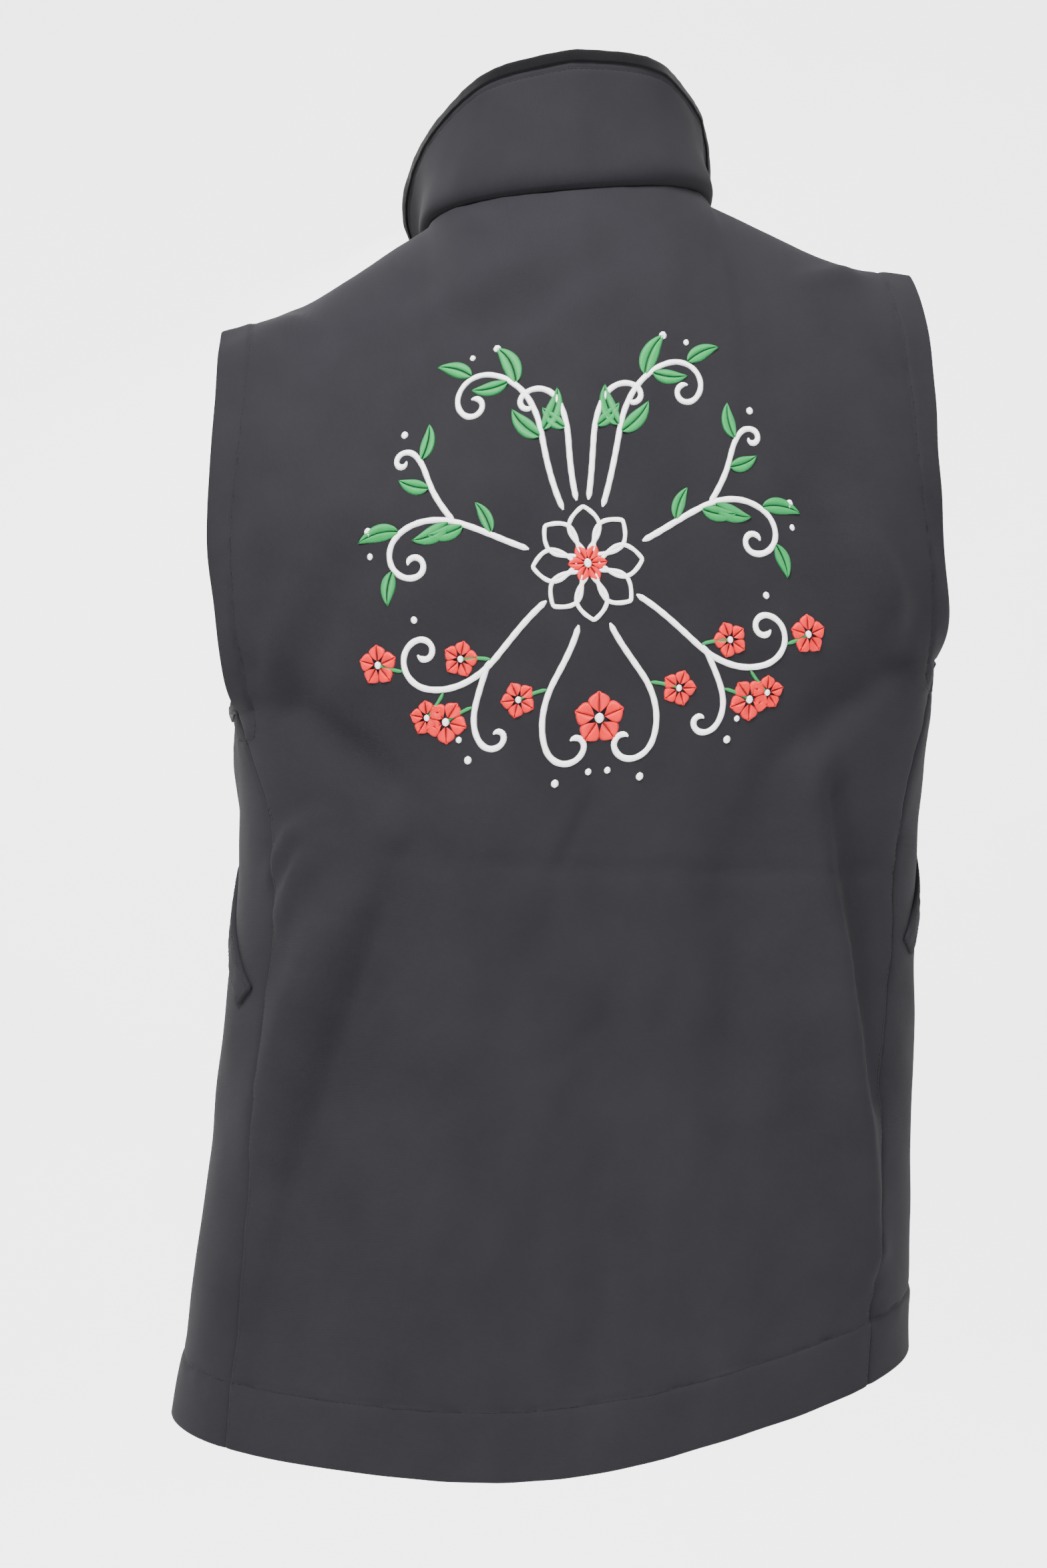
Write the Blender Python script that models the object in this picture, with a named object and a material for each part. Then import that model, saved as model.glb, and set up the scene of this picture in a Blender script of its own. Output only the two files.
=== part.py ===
"""Softshell vest in its worn form, modelled in metres with +Z up.

The back faces +Y, the front zip faces -Y and the wearer's left is +X. The origin is the
middle of the neck seam, at the height where the cloth hangs from the neck and shoulders.
The vest is first made symmetric from tables of sections, and worn() then leans it as it
hangs on a standing figure.
"""

from collections import namedtuple

import bmesh
import bpy
import numpy as np

# Cloth and seams
CLOTH = 0.0018  # bonded softshell wall
FACING = 0.0010  # inner collar layer, which rolls over the collar's top edge
SEAM_GAP = 0.0003  # between neighbouring pieces
HEM_BAND = 0.035  # turned-up hem, from its edge to its stitch line
ARM_BAND = 0.0190  # turned-in armhole edge, to its stitch line
BAND_RISE = 0.0008  # what the second layer of a hem adds
BAND_EASE = 0.003  # over which that step rises

# Heights
ARMPIT_Z = -0.280
HEM_SIDE_Z = -0.680
HEM_BACK_DROP = 0.027
HEM_FRONT_DROP = 0.006

# Shares of a panel's width
BACK_NECK_SHARE = 0.44
FRONT_NECK_SHARE = 0.46
SIDE_NECK = 0.49  # where the shoulder seam meets the neck seam, as a share of the half neck
SQUARENESS = 2.35  # 2 is an ellipse

# Front opening
ZIP_HALF_GAP = 0.0055
SLIDER_AT = 1.40  # place of the slider on the front edge, from 0 at the hem to 2 at the neck
TAPE_UNDER = 0.006  # zip tape behind the front edge
TAPE_CLOTH = 0.0008
TURN_CLEAR = 0.0005  # more room behind the edges where they turn away above the slider
TOOTH_HALF = 0.00225
TOOTH_DEPTH = 0.0022
BOX_HEIGHT_W = 0.017  # zip box, as a share of the height from hem to underarm

# Mesh
NECK_COLUMNS = 7
SHOULDER_COLUMNS = 6
LOWER_ROWS = 15
UPPER_ROWS = 14

Section = namedtuple("Section", "z half_width back front seam_deg")
BODY = (
    Section(-0.710, 0.2180, 0.1390, 0.1410, 63.0),
    Section(-0.640, 0.2125, 0.1380, 0.1390, 64.5),
    Section(-0.540, 0.2065, 0.1350, 0.1340, 66.0),
    Section(-0.440, 0.2020, 0.1310, 0.1290, 67.0),
    Section(-0.380, 0.2000, 0.1310, 0.1285, 68.0),
    Section(-0.330, 0.2020, 0.1325, 0.1285, 71.5),
    Section(-0.280, 0.2060, 0.1340, 0.1290, 81.0),
)

# How the worn vest hangs: sideways shift, left side down, and turn of each height
Hang = namedtuple("Hang", "z shift tilt_deg turn_deg")
HANG = (
    Hang(-0.710, 0.0495, 2.4, -1.5),
    Hang(-0.640, 0.0410, 2.4, -1.5),
    Hang(-0.580, 0.0335, 2.3, -1.5),
    Hang(-0.460, 0.0195, 1.6, -1.0),
    Hang(-0.370, 0.0100, 1.5, 0.0),
    Hang(-0.280, 0.0030, 1.8, 0.0),
    Hang(-0.190, 0.0075, 2.3, 0.0),
    Hang(-0.100, 0.0030, 2.9, 0.0),
    Hang(-0.020, 0.0000, 2.9, 0.0),
    Hang(0.100, -0.0020, 2.9, 0.0),
)

# Half of the neck seam and of the collar's top edge, from centre back to the front end
Neck = namedtuple("Neck", "at x y z top_x top_y top_z")
NECK = (
    Neck(0.00, 0.000, 0.064, 0.000, 0.000, 0.056, 0.080),
    Neck(0.19, 0.045, 0.053, 0.001, 0.045, 0.042, 0.076),
    Neck(0.36, 0.073, 0.026, 0.002, 0.067, 0.014, 0.067),
    Neck(0.49, 0.083, -0.004, 0.000, 0.080, -0.012, 0.058),
    Neck(0.65, 0.079, -0.043, -0.013, 0.090, -0.046, 0.046),
    Neck(0.82, 0.063, -0.078, -0.034, 0.095, -0.082, 0.028),
    Neck(1.00, 0.036, -0.106, -0.062, 0.084, -0.118, 0.004),
)
COLLAR_ROLL = 0.0045  # how far the collar rolls out over its seam
COLLAR_ROLL_AT = 0.14
ROLLED_EDGE = 0.94  # height share down to which the facing rolls over the top edge

# Shoulder seam, from the neck to the tip
Shoulder = namedtuple("Shoulder", "at x y z")
SHOULDER = (
    Shoulder(0.00, 0.083, -0.004, 0.000),
    Shoulder(0.18, 0.105, -0.006, -0.0120),
    Shoulder(0.54, 0.149, -0.009, -0.0355),
    Shoulder(0.70, 0.168, -0.010, -0.0418),
    Shoulder(1.00, 0.2055, -0.012, -0.0490),
)

# Edges of the panels above the underarm, from there (0) to the shoulder or neck (1)
Edge = namedtuple("Edge", "at x y z")
ARMHOLE_BACK = (
    Edge(0.00, 0.2030, 0.0282, -0.280),
    Edge(0.12, 0.2080, 0.0410, -0.264),
    Edge(0.30, 0.2090, 0.0530, -0.224),
    Edge(0.50, 0.2090, 0.0550, -0.174),
    Edge(0.70, 0.2080, 0.0440, -0.120),
    Edge(0.86, 0.2065, 0.0220, -0.078),
    Edge(1.00, 0.2055, -0.0120, -0.049),
)
ARMHOLE_FRONT = (
    Edge(0.00, 0.2030, 0.0282, -0.280),
    Edge(0.12, 0.2060, -0.0050, -0.284),
    Edge(0.25, 0.2060, -0.0340, -0.268),
    Edge(0.45, 0.2055, -0.0530, -0.218),
    Edge(0.65, 0.2055, -0.0560, -0.162),
    Edge(0.85, 0.2055, -0.0400, -0.094),
    Edge(1.00, 0.2055, -0.0123, -0.049),
)
OPENING = (
    Edge(0.00, 0.0055, -0.1290, -0.280),
    Edge(0.20, 0.0055, -0.1330, -0.235),
    Edge(0.42, 0.0055, -0.1335, -0.186),
    Edge(0.60, 0.0120, -0.1300, -0.147),
    Edge(0.80, 0.0230, -0.1200, -0.104),
    Edge(1.00, 0.0360, -0.1060, -0.062),
)

# Soft folds: a line at a girth from centre back (left above 0) and height, reach and rise
BACK_GIRTH = 0.22
FRONT_GIRTH = 0.28
Fold = namedtuple("Fold", "g0 z0 g1 z1 reach rise")
FOLDS = (
    Fold(0.212, -0.394, 0.188, -0.362, 0.009, 0.0035),
    Fold(0.140, -0.375, 0.176, -0.485, 0.018, -0.0058),
    Fold(0.184, -0.512, 0.203, -0.615, 0.019, -0.0048),
    Fold(0.180, -0.405, 0.212, -0.500, 0.015, 0.0042),
    Fold(0.086, -0.368, 0.107, -0.612, 0.036, 0.0042),
    Fold(-0.108, -0.372, -0.118, -0.520, 0.030, -0.0042),
    Fold(-0.144, -0.340, -0.174, -0.432, 0.013, 0.0052),
    Fold(-0.183, -0.456, -0.213, -0.605, 0.016, 0.0046),
    Fold(-0.186, -0.385, -0.212, -0.480, 0.016, -0.0040),
    Fold(-0.020, -0.430, -0.032, -0.640, 0.030, -0.0026),
    Fold(0.190, -0.262, 0.135, -0.335, 0.018, -0.0042),
    Fold(-0.190, -0.255, -0.135, -0.320, 0.018, -0.0040),
    Fold(-0.014, -0.043, 0.058, -0.084, 0.018, -0.0028),
    Fold(0.280, -0.290, 0.380, -0.360, 0.020, -0.0045),
    Fold(-0.270, -0.290, -0.370, -0.350, 0.020, -0.0045),
    Fold(0.332, -0.352, 0.311, -0.622, 0.029, -0.0044),
    Fold(-0.340, -0.350, -0.310, -0.620, 0.030, 0.0040),
    Fold(0.412, -0.415, 0.396, -0.640, 0.027, 0.0042),
    Fold(-0.400, -0.400, -0.400, -0.640, 0.026, -0.0040),
)

# Slanted hand pockets on the fronts: share of the front's width, and height
POCKET_LOW = (0.950, -0.442)
POCKET_HIGH = (0.600, -0.335)
WELT_WIDTH = 0.013
WELT_CLOTH = 0.0016
WELT_CLEAR = 0.0008
WELT_ROWS = 36

# Slider and pull, in millimetres across, out from the teeth and up from the hinge
SLIDER_X = (-4.5, -1.2, 1.2, 4.5)
SLIDER_OUT = (0.0, 1.4, 4.0, 5.2)
SLIDER_UP = (-5.5, -3.9, -2.7, 2.7, 3.9, 5.5)
SLIDER_ARCH = ((1, 1, 1), (1, 1, 3), (1, 2, 1), (1, 2, 2), (1, 2, 3))
PULL_X = (-3.5, -1.7, 1.7, 3.5)
PULL_OUT = (2.0, 3.2)
PULL_UP = (-30.0, -5.2, -0.7, 0.7)
PULL_WINDOW = (1, 0, 1)
SLIDER_CLEAR = 0.0009

# Base colour, roughness and metallic of each material
LOOKS = {
    "softshell": ((0.052, 0.053, 0.061), 0.85, 0.0),
    "fleece": ((0.014, 0.014, 0.017), 0.95, 0.0),
    "zip tape": ((0.012, 0.012, 0.014), 0.90, 0.0),
    "moulded teeth": ((0.016, 0.016, 0.018), 0.45, 0.0),
    "painted metal": ((0.020, 0.020, 0.022), 0.40, 1.0),
}


def spline(knots, values, x):
    """A natural cubic spline through the knots, read at x, which is held to their range."""
    knots, values = np.asarray(knots, float), np.asarray(values, float)
    x = np.clip(x, knots[0], knots[-1])
    step = np.diff(knots)
    slope = np.diff(values) / step
    size = len(knots)
    bend = np.eye(size)
    known = np.zeros(size)
    for i in range(1, size - 1):
        bend[i, i - 1 : i + 2] = step[i - 1], 2 * (step[i - 1] + step[i]), step[i]
        known[i] = 6 * (slope[i] - slope[i - 1])
    curve = np.linalg.solve(bend, known)
    i = np.clip(np.searchsorted(knots, x) - 1, 0, size - 2)
    left, right = x - knots[i], knots[i + 1] - x
    return (
        (curve[i] * right**3 + curve[i + 1] * left**3) / (6 * step[i])
        + (values[i] / step[i] - curve[i] * step[i] / 6) * right
        + (values[i + 1] / step[i] - curve[i + 1] * step[i] / 6) * left
    )


def column(table, name, x):
    """One column of a table, read at x along the table's first column."""
    return spline([row[0] for row in table], [getattr(row, name) for row in table], x)


def place(table, at, names=("x", "y", "z")):
    return np.stack([column(table, name, at) for name in names], axis=-1)


def ease(x):
    """Goes smoothly from 0 to 1 as x does."""
    x = np.clip(x, 0, 1)
    return x * x * (3 - 2 * x)


def unit(v):
    return v / np.maximum(np.linalg.norm(v, axis=-1, keepdims=True), 1e-12)


def worn(points):
    """Leans the symmetric vest as it hangs on the figure."""
    x, y, z = points[..., 0], points[..., 1], points[..., 2]
    turn = np.radians(column(HANG, "turn_deg", z))
    tilt = np.tan(np.radians(column(HANG, "tilt_deg", z)))
    shift = column(HANG, "shift", z)
    turned_x = x * np.cos(turn) - y * np.sin(turn)
    turned_y = x * np.sin(turn) + y * np.cos(turn)
    return np.stack([turned_x + shift, turned_y, z - x * tilt], axis=-1)


def body(angle, z):
    """The section of the body at height z, at an angle in radians from centre back."""
    across, along = np.sin(angle), np.cos(angle)
    depth = np.where(along > 0, column(BODY, "back", z), column(BODY, "front", z))
    width = column(BODY, "half_width", z)
    n = SQUARENESS
    r = ((np.abs(across) / width) ** n + (np.abs(along) / depth) ** n) ** (-1 / n)
    return np.stack([r * across, r * along, z + 0 * r], axis=-1)


def hem_height(angle):
    back, front = np.maximum(np.cos(angle), 0), np.maximum(-np.cos(angle), 0)
    return HEM_SIDE_Z - HEM_BACK_DROP * back**2 - HEM_FRONT_DROP * front**2


def panel_angle(panel, u, z):
    """Angle of a share of the panel's width, with the gap of the side seam left open."""
    seam = np.radians(column(BODY, "seam_deg", z))
    if panel == "back":
        return u * (seam - SEAM_GAP / 0.4)
    zip_angle = np.pi - np.arctan(ZIP_HALF_GAP / column(BODY, "front", z))
    return zip_angle + u * (seam + SEAM_GAP / 0.4 - zip_angle)


def top_edge(panel, size):
    """The neck seam and then the shoulder seam, and the way the cloth runs into them."""
    if panel == "back":
        share = BACK_NECK_SHARE
        at = np.minimum(size / share, 1) * SIDE_NECK
        middle, reach = np.array([0, -0.50, 0.87]), 0.11
        side = np.array([0, -0.97, -0.22])
        gap = np.zeros(3)
    else:
        share = FRONT_NECK_SHARE
        at = 1 - np.minimum(size / share, 1) * (1 - SIDE_NECK)
        middle, reach = np.array([0.35, 0.28, 0.89]), 0.14
        side = np.array([0, 0.97, 0.22])
        gap = np.array([0, -SEAM_GAP, 0])
    on_neck = (size < share)[..., None]
    neck = place(NECK, at)
    shoulder = place(SHOULDER, np.clip((size - share) / (1 - share), 0, 1)) + gap
    blend = ease(size / 0.7)[..., None]
    way = unit(middle + (side - middle) * blend) * (reach + (0.165 - reach) * blend)
    return np.where(on_neck, neck, shoulder), way


def soft_top(panel, size):
    """The top edge with its corner at the side of the neck smoothed away."""
    total = 0.0
    for weight, step in zip((1, 4, 6, 4, 1), (-0.16, -0.08, 0.0, 0.08, 0.16)):
        near = size + step
        inside = np.where(near < 0, -near, np.where(near > 1, 2 - near, near))
        point = top_edge(panel, inside)[0]
        end = top_edge(panel, np.where(near < 0.5, 0.0, 1.0))[0]
        beyond = ((near < 0) | (near > 1))[..., None]
        total = total + weight / 16 * np.where(beyond, 2 * end - point, point)
    return total


def strand(panel, size, t):
    """A smooth run of cloth from the underarm's height (t 0) up to the top edge (t 1)."""
    z = np.full(np.shape(size), ARMPIT_Z)
    angle = panel_angle(panel, size, z)
    foot = body(angle, z)
    edge, way = top_edge(panel, size)
    top = soft_top(panel, size)
    lean = (foot - body(angle, z - 0.01)) / 0.01 * (top[..., 2] - ARMPIT_Z)[..., None]
    t = np.asarray(t)[..., None]
    return (
        (2 * t**3 - 3 * t**2 + 1) * foot
        + (t**3 - 2 * t**2 + t) * lean
        + (3 * t**2 - 2 * t**3) * top
        + (t**3 - t**2) * way
        + t**7 * (edge - top)
    )


def edge_pull(panel, table, size, t):
    """What moves a panel's edge from its strand onto the table, and leaves its ends."""
    at_edge = np.full(np.shape(t), float(size))
    off = place(table, t) - strand(panel, at_edge, t)
    first = place(table, 0.0 * t) - strand(panel, at_edge, 0.0 * t)
    last = place(table, 0.0 * t + 1) - strand(panel, at_edge, 0.0 * t + 1)
    t = t[..., None]
    return off - (1 - t) * first - t * last


def upper(panel, size, t):
    """A panel above the underarm."""
    points = strand(panel, size, t)
    armhole = ARMHOLE_BACK if panel == "back" else ARMHOLE_FRONT
    near_arm = (size**4)[..., None]
    points = points + near_arm * edge_pull(panel, armhole, 1, t)
    if panel == "front":
        near_zip = ease(1 - size / 0.55)[..., None]
        points = points + near_zip * edge_pull(panel, OPENING, 0, t)
        points[..., 0] = np.maximum(points[..., 0], ZIP_HALF_GAP)
    # The shoulder blades and the chest fill the cloth out
    full = 0.016 if panel == "back" else -0.012
    inner = size**3 if panel == "back" else (2 * size - 1) ** 2
    points[..., 1] += full * np.sin(np.pi * np.clip(t, 0, 1)) ** 1.5 * (1 - inner)
    return points


def panel_form(panel, u, w):
    """A panel before folds and hang. w runs from the hem (0) to the underarm (1) and the
    neck and shoulder (2). u is the share of the panel's width, from its middle line."""
    size = np.abs(u)
    hem = hem_height(panel_angle(panel, size, np.full(size.shape, HEM_SIDE_Z)))
    z = hem + (ARMPIT_Z - hem) * np.clip(w, 0, 1)
    low = body(panel_angle(panel, size, z), z)
    high = upper(panel, size, np.clip(w - 1, 0, 1))
    return np.where((w <= 1)[..., None], low, high)


def bare(piece, u, w):
    """A panel as worn, before its folds. The right front mirrors the left one."""
    panel = "back" if piece == "back" else "front"
    points = panel_form(panel, u, w)
    side = np.where(u < 0, -1.0, 1.0) if piece == "back" else {"left": 1, "right": -1}[piece]
    points[..., 0] *= side
    return worn(points), points[..., 2]


def girth(piece, u):
    """Distance round the body from centre back, on the left above 0."""
    if piece == "back":
        return u * BACK_GIRTH
    side = 1 if piece == "left" else -1
    return side * (BACK_GIRTH + (1 - u) * FRONT_GIRTH)


def fold_rise(g, z):
    total = np.zeros(np.shape(g))
    for fold in FOLDS:
        way = np.array([fold.g1 - fold.g0, fold.z1 - fold.z0])
        where = np.stack([g - fold.g0, z - fold.z0], axis=-1)
        along = where @ way / (way @ way)
        off = np.linalg.norm(where - np.clip(along, 0, 1)[..., None] * way, axis=-1)
        total += fold.rise * np.exp(-((off / fold.reach) ** 2))
    return total


def body_normal(piece, u, w):
    """The way out of the cloth below the underarm, the same on both sides of a seam."""
    panel = "back" if piece == "back" else "front"
    size = np.abs(u)
    side = np.where(u < 0, -1.0, 1.0) if piece == "back" else {"left": 1, "right": -1}[piece]
    z = panel_form(panel, u, np.minimum(w, 1))[..., 2]
    angle = panel_angle(panel, size, z)
    mirror = np.stack([side + 0 * z, 1 + 0 * z, 1 + 0 * z], axis=-1)

    def form(angle, z):
        return worn(body(angle, z) * mirror)

    round_body = form(angle + 0.01, z) - form(angle - 0.01, z)
    up = form(angle, z + 0.003) - form(angle, z - 0.003)
    return unit(np.cross(up, round_body)) * (side + 0 * z)[..., None]


def yoke_normal(piece, u, w):
    """The way out of the cloth above the underarm."""
    step = 0.004
    low_u = -1.0 if piece == "back" else 0.0
    across = bare(piece, np.minimum(u + step, 1), w)[0]
    across = across - bare(piece, np.maximum(u - step, low_u), w)[0]
    up = bare(piece, u, np.minimum(w + step, 2))[0] - bare(piece, u, np.maximum(w - step, 1))[0]
    out = unit(np.cross(across, up)) * (1 if piece == "left" else -1)
    # Both pieces of a shoulder seam share one way out
    share = BACK_NECK_SHARE if piece == "back" else FRONT_NECK_SHARE
    size = np.clip((np.abs(u) - share) / (1 - share), 0, 1)
    run = place(SHOULDER, np.minimum(size + 0.02, 1)) - place(SHOULDER, np.maximum(size - 0.02, 0))
    seam = unit(np.cross(run, np.array([0.0, 1.0, 0.0])))
    side = np.where(u < 0, -1.0, 1.0) if piece == "back" else {"left": 1, "right": -1}[piece]
    seam[..., 0] *= side
    on_seam = (w > 1.999) & (np.abs(u) >= share - 1e-6)
    return np.where(on_seam[..., None], seam, out)


def cloth(piece, u, w):
    """Outer points and ways out of a panel with its folds and the rise of its hems."""
    u, w = np.broadcast_arrays(np.asarray(u, float), np.asarray(w, float))
    points, z = bare(piece, u, w)
    out = np.where((w <= 1)[..., None], body_normal(piece, u, w), yoke_normal(piece, u, w))
    fade = ease((2 - w) / 0.15)
    if piece != "back":
        fade = fade * ease(u / 0.16)
    rise = fold_rise(girth(piece, u), z) * fade
    rise = rise + hem_rise(w)
    from_arm = (1 - np.abs(u)) * 0.235
    arm_band = (1 - ease((from_arm - ARM_BAND) / BAND_EASE)) * ease((w - 1) / 0.07)
    rise = rise + BAND_RISE * arm_band
    return points + out * rise[..., None], out, BAND_RISE * arm_band


def collar_form(s, h):
    """The collar, from its right front end (s -1) round the back to the left one (s 1)."""
    s, h = np.broadcast_arrays(np.asarray(s, float), np.asarray(h, float))
    at = np.abs(s)
    base = place(NECK, at)
    top = place(NECK, at, ("top_x", "top_y", "top_z"))
    run = place(NECK, np.minimum(at + 0.01, 1)) - place(NECK, np.maximum(at - 0.01, 0))
    out = unit(np.stack([-run[..., 1], run[..., 0], 0 * at], axis=-1))
    lift = h / COLLAR_ROLL_AT
    roll = COLLAR_ROLL * lift * np.exp(1 - lift) * ease((1 - at) / 0.2)
    points = base + (top - base) * h[..., None] + out * roll[..., None]
    points[..., 2] += SEAM_GAP * (1 - h)
    points[..., 0] *= np.where(s < 0, -1.0, 1.0)
    return worn(points)


def collar_cloth(s, h):
    s, h = np.broadcast_arrays(np.asarray(s, float), np.asarray(h, float))
    step = 0.01
    round_neck = collar_form(np.minimum(s + step, 1), h)
    round_neck = round_neck - collar_form(np.maximum(s - step, -1), h)
    up = collar_form(s, np.minimum(h + step, 1)) - collar_form(s, np.maximum(h - step, 0))
    return collar_form(s, h), unit(np.cross(up, round_neck)), unit(up)


def material(name):
    found = bpy.data.materials.get(name)
    if found:
        return found
    made = bpy.data.materials.new(name)
    made.use_nodes = True
    colour, roughness, metallic = LOOKS[name]
    shader = made.node_tree.nodes["Principled BSDF"]
    shader.inputs["Base Color"].default_value = (*colour, 1.0)
    shader.inputs["Roughness"].default_value = roughness
    shader.inputs["Metallic"].default_value = metallic
    return made


def build(name, points, faces, look):
    """A named object from points and faces, with its faces turned outward."""
    mesh = bpy.data.meshes.new(name)
    mesh.from_pydata([tuple(map(float, p)) for p in points], [], faces)
    sheet = bmesh.new()
    sheet.from_mesh(mesh)
    bmesh.ops.recalc_face_normals(sheet, faces=sheet.faces[:])
    sheet.to_mesh(mesh)
    sheet.free()
    mesh.materials.append(material(look))
    made = bpy.data.objects.new(name, mesh)
    vest.objects.link(made)
    return made


def shell(name, outer, inner, look):
    """A closed wall between two grids of points."""
    rows, columns = outer.shape[:2]
    points = np.concatenate([outer.reshape(-1, 3), inner.reshape(-1, 3)])
    behind = rows * columns
    rim = [c for c in range(columns)]
    rim += [r * columns + columns - 1 for r in range(1, rows)]
    rim += [(rows - 1) * columns + c for c in range(columns - 2, -1, -1)]
    rim += [r * columns for r in range(rows - 2, 0, -1)]
    faces = [(b, a, behind + a, behind + b) for a, b in zip(rim, rim[1:] + rim[:1])]
    for r in range(rows - 1):
        for c in range(columns - 1):
            a = r * columns + c
            b = a + columns
            for corners in ((a, a + 1, b + 1), (a, b + 1, b)):
                faces.append(corners)
                faces.append(tuple(behind + k for k in reversed(corners)))
    return build(name, points, faces, look)


def beam(name, corners, look):
    """A closed bar through rows of four corners."""
    rows = len(corners)
    faces = [(0, 1, 2, 3), tuple(4 * (rows - 1) + k for k in (3, 2, 1, 0))]
    for r in range(rows - 1):
        for k in range(4):
            a, b = 4 * r + k, 4 * r + (k + 1) % 4
            faces.append((b, a, a + 4, b + 4))
    return build(name, np.asarray(corners).reshape(-1, 3), faces, look)


def cells(name, origin, across, out, up, filled, look):
    """A closed body from the filled cells of a grid given in millimetres."""
    used = {}
    faces = []
    filled = set(filled)
    corner_sets = {
        (1, 0, 0): ((1, 0, 0), (1, 1, 0), (1, 1, 1), (1, 0, 1)),
        (-1, 0, 0): ((0, 0, 0), (0, 0, 1), (0, 1, 1), (0, 1, 0)),
        (0, 1, 0): ((0, 1, 0), (0, 1, 1), (1, 1, 1), (1, 1, 0)),
        (0, -1, 0): ((0, 0, 0), (1, 0, 0), (1, 0, 1), (0, 0, 1)),
        (0, 0, 1): ((0, 0, 1), (1, 0, 1), (1, 1, 1), (0, 1, 1)),
        (0, 0, -1): ((0, 0, 0), (0, 1, 0), (1, 1, 0), (1, 0, 0)),
    }
    for cell in sorted(filled):
        for way, corners in corner_sets.items():
            if tuple(np.add(cell, way)) in filled:
                continue
            keys = [tuple(np.add(cell, corner)) for corner in corners]
            faces.append([used.setdefault(key, len(used)) for key in keys])
    points = [
        np.array([across[i], -out[j], up[k]]) * 0.001 + origin
        for i, j, k in sorted(used, key=used.get)
    ]
    return build(name, points, faces, look)


def panel_columns(neck_share):
    """Shares of a panel's width for its columns, which meet the collar's at the neck."""
    arm = 1 - (ARM_BAND + BAND_EASE) / 0.235
    neck = np.linspace(0, neck_share, NECK_COLUMNS + 1)
    shoulder = np.linspace(neck_share, arm, SHOULDER_COLUMNS + 1)[1:]
    return np.concatenate([neck, shoulder, [1 - ARM_BAND / 0.235, 1.0]])


def on_grid(outer, out, u, w):
    """Points and ways out on the flat faces of a front, so that what lies there fits."""
    r = np.clip(np.searchsorted(ROWS, w) - 1, 0, len(ROWS) - 2)
    c = np.clip(np.searchsorted(FRONT_U, u) - 1, 0, len(FRONT_U) - 2)
    a = ((w - ROWS[r]) / (ROWS[r + 1] - ROWS[r]))[..., None]
    b = ((u - FRONT_U[c]) / (FRONT_U[c + 1] - FRONT_U[c]))[..., None]

    def read(grid):
        first, last = grid[r, c], grid[r + 1, c + 1]
        below, beside = grid[r, c + 1], grid[r + 1, c]
        lower = first + b * (below - first) + a * (last - below)
        higher = first + a * (beside - first) + b * (last - beside)
        return np.where(b >= a, lower, higher)

    return read(outer), unit(read(out))


def hem_rise(w):
    return BAND_RISE * (1 - ease((np.clip(w, 0, 1) * 0.41 - HEM_BAND) / BAND_EASE))


def zip_edge(side):
    """Points, ways out, ways into the opening and cloth of a front edge and collar end."""
    points, out, band = cloth(side, FRONT_U[:2][None, :], ROWS[:, None])
    into = unit(points[:, 0] - points[:, 1])
    end = np.array([[HALF_S[-1], HALF_S[-2]]]) * (1 if side == "left" else -1)
    collar, collar_out, _ = collar_cloth(end, COLLAR_H[:, None])
    out[-1, 0] += collar_out[0, 0]
    points = np.concatenate([points[:, 0], collar[1:, 0]])
    into = np.concatenate([into, unit(collar[1:, 0] - collar[1:, 1])])
    out = np.concatenate([out[:, 0], collar_out[1:, 0]])
    out = unit(out - into * np.sum(out * into, axis=-1, keepdims=True))
    wall = np.full(len(points), CLOTH)
    wall[: len(ROWS)] += hem_rise(ROWS) + TURN_CLEAR * ease((ROWS - SLIDER_AT) / 0.1)
    return points, out, into, wall[:, None]


def bar_rows(points, out, into, near, far, front, back):
    """Rows of four corners beside an edge, from near to far and from front to back."""
    return np.stack(
        [
            points + into * near - out * front,
            points + into * far - out * front,
            points + into * far - out * back,
            points + into * near - out * back,
        ],
        axis=1,
    )


for item in list(bpy.data.objects):
    bpy.data.objects.remove(item, do_unlink=True)
vest = bpy.data.collections.new("western vest")
bpy.context.scene.collection.children.link(vest)

# Rows and columns, closer together where a hem ends
hem_w = HEM_BAND / 0.41
ease_w = BAND_EASE / 0.41
ROWS = np.concatenate([
    [0.0, BOX_HEIGHT_W, hem_w],
    np.linspace(hem_w + ease_w, 1, LOWER_ROWS),
    1 + np.linspace(0, 1, UPPER_ROWS + 1)[1:],
])
HALF_U = panel_columns(BACK_NECK_SHARE)
BACK_U = np.concatenate([-HALF_U[:0:-1], HALF_U])
FRONT_U = panel_columns(FRONT_NECK_SHARE)
back_s = np.linspace(0, SIDE_NECK, NECK_COLUMNS + 1)
HALF_S = np.concatenate([back_s, np.linspace(SIDE_NECK, 1, NECK_COLUMNS + 1)[1:]])
COLLAR_S = np.concatenate([-HALF_S[:0:-1], HALF_S])
COLLAR_H = np.array([0, 0.06, 0.14, 0.26, 0.44, 0.68, ROLLED_EDGE, 1])

# Panels
grids = {}
for name, piece, shares in (
    ("back_panel", "back", BACK_U),
    ("front_left", "left", FRONT_U),
    ("front_right", "right", FRONT_U),
):
    outer, out, band = cloth(piece, shares[None, :], ROWS[:, None])
    wall = CLOTH + band + hem_rise(ROWS)[:, None]
    grids[name] = (outer, out)
    shell(name, outer, outer - out * wall[..., None], "softshell")

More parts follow.
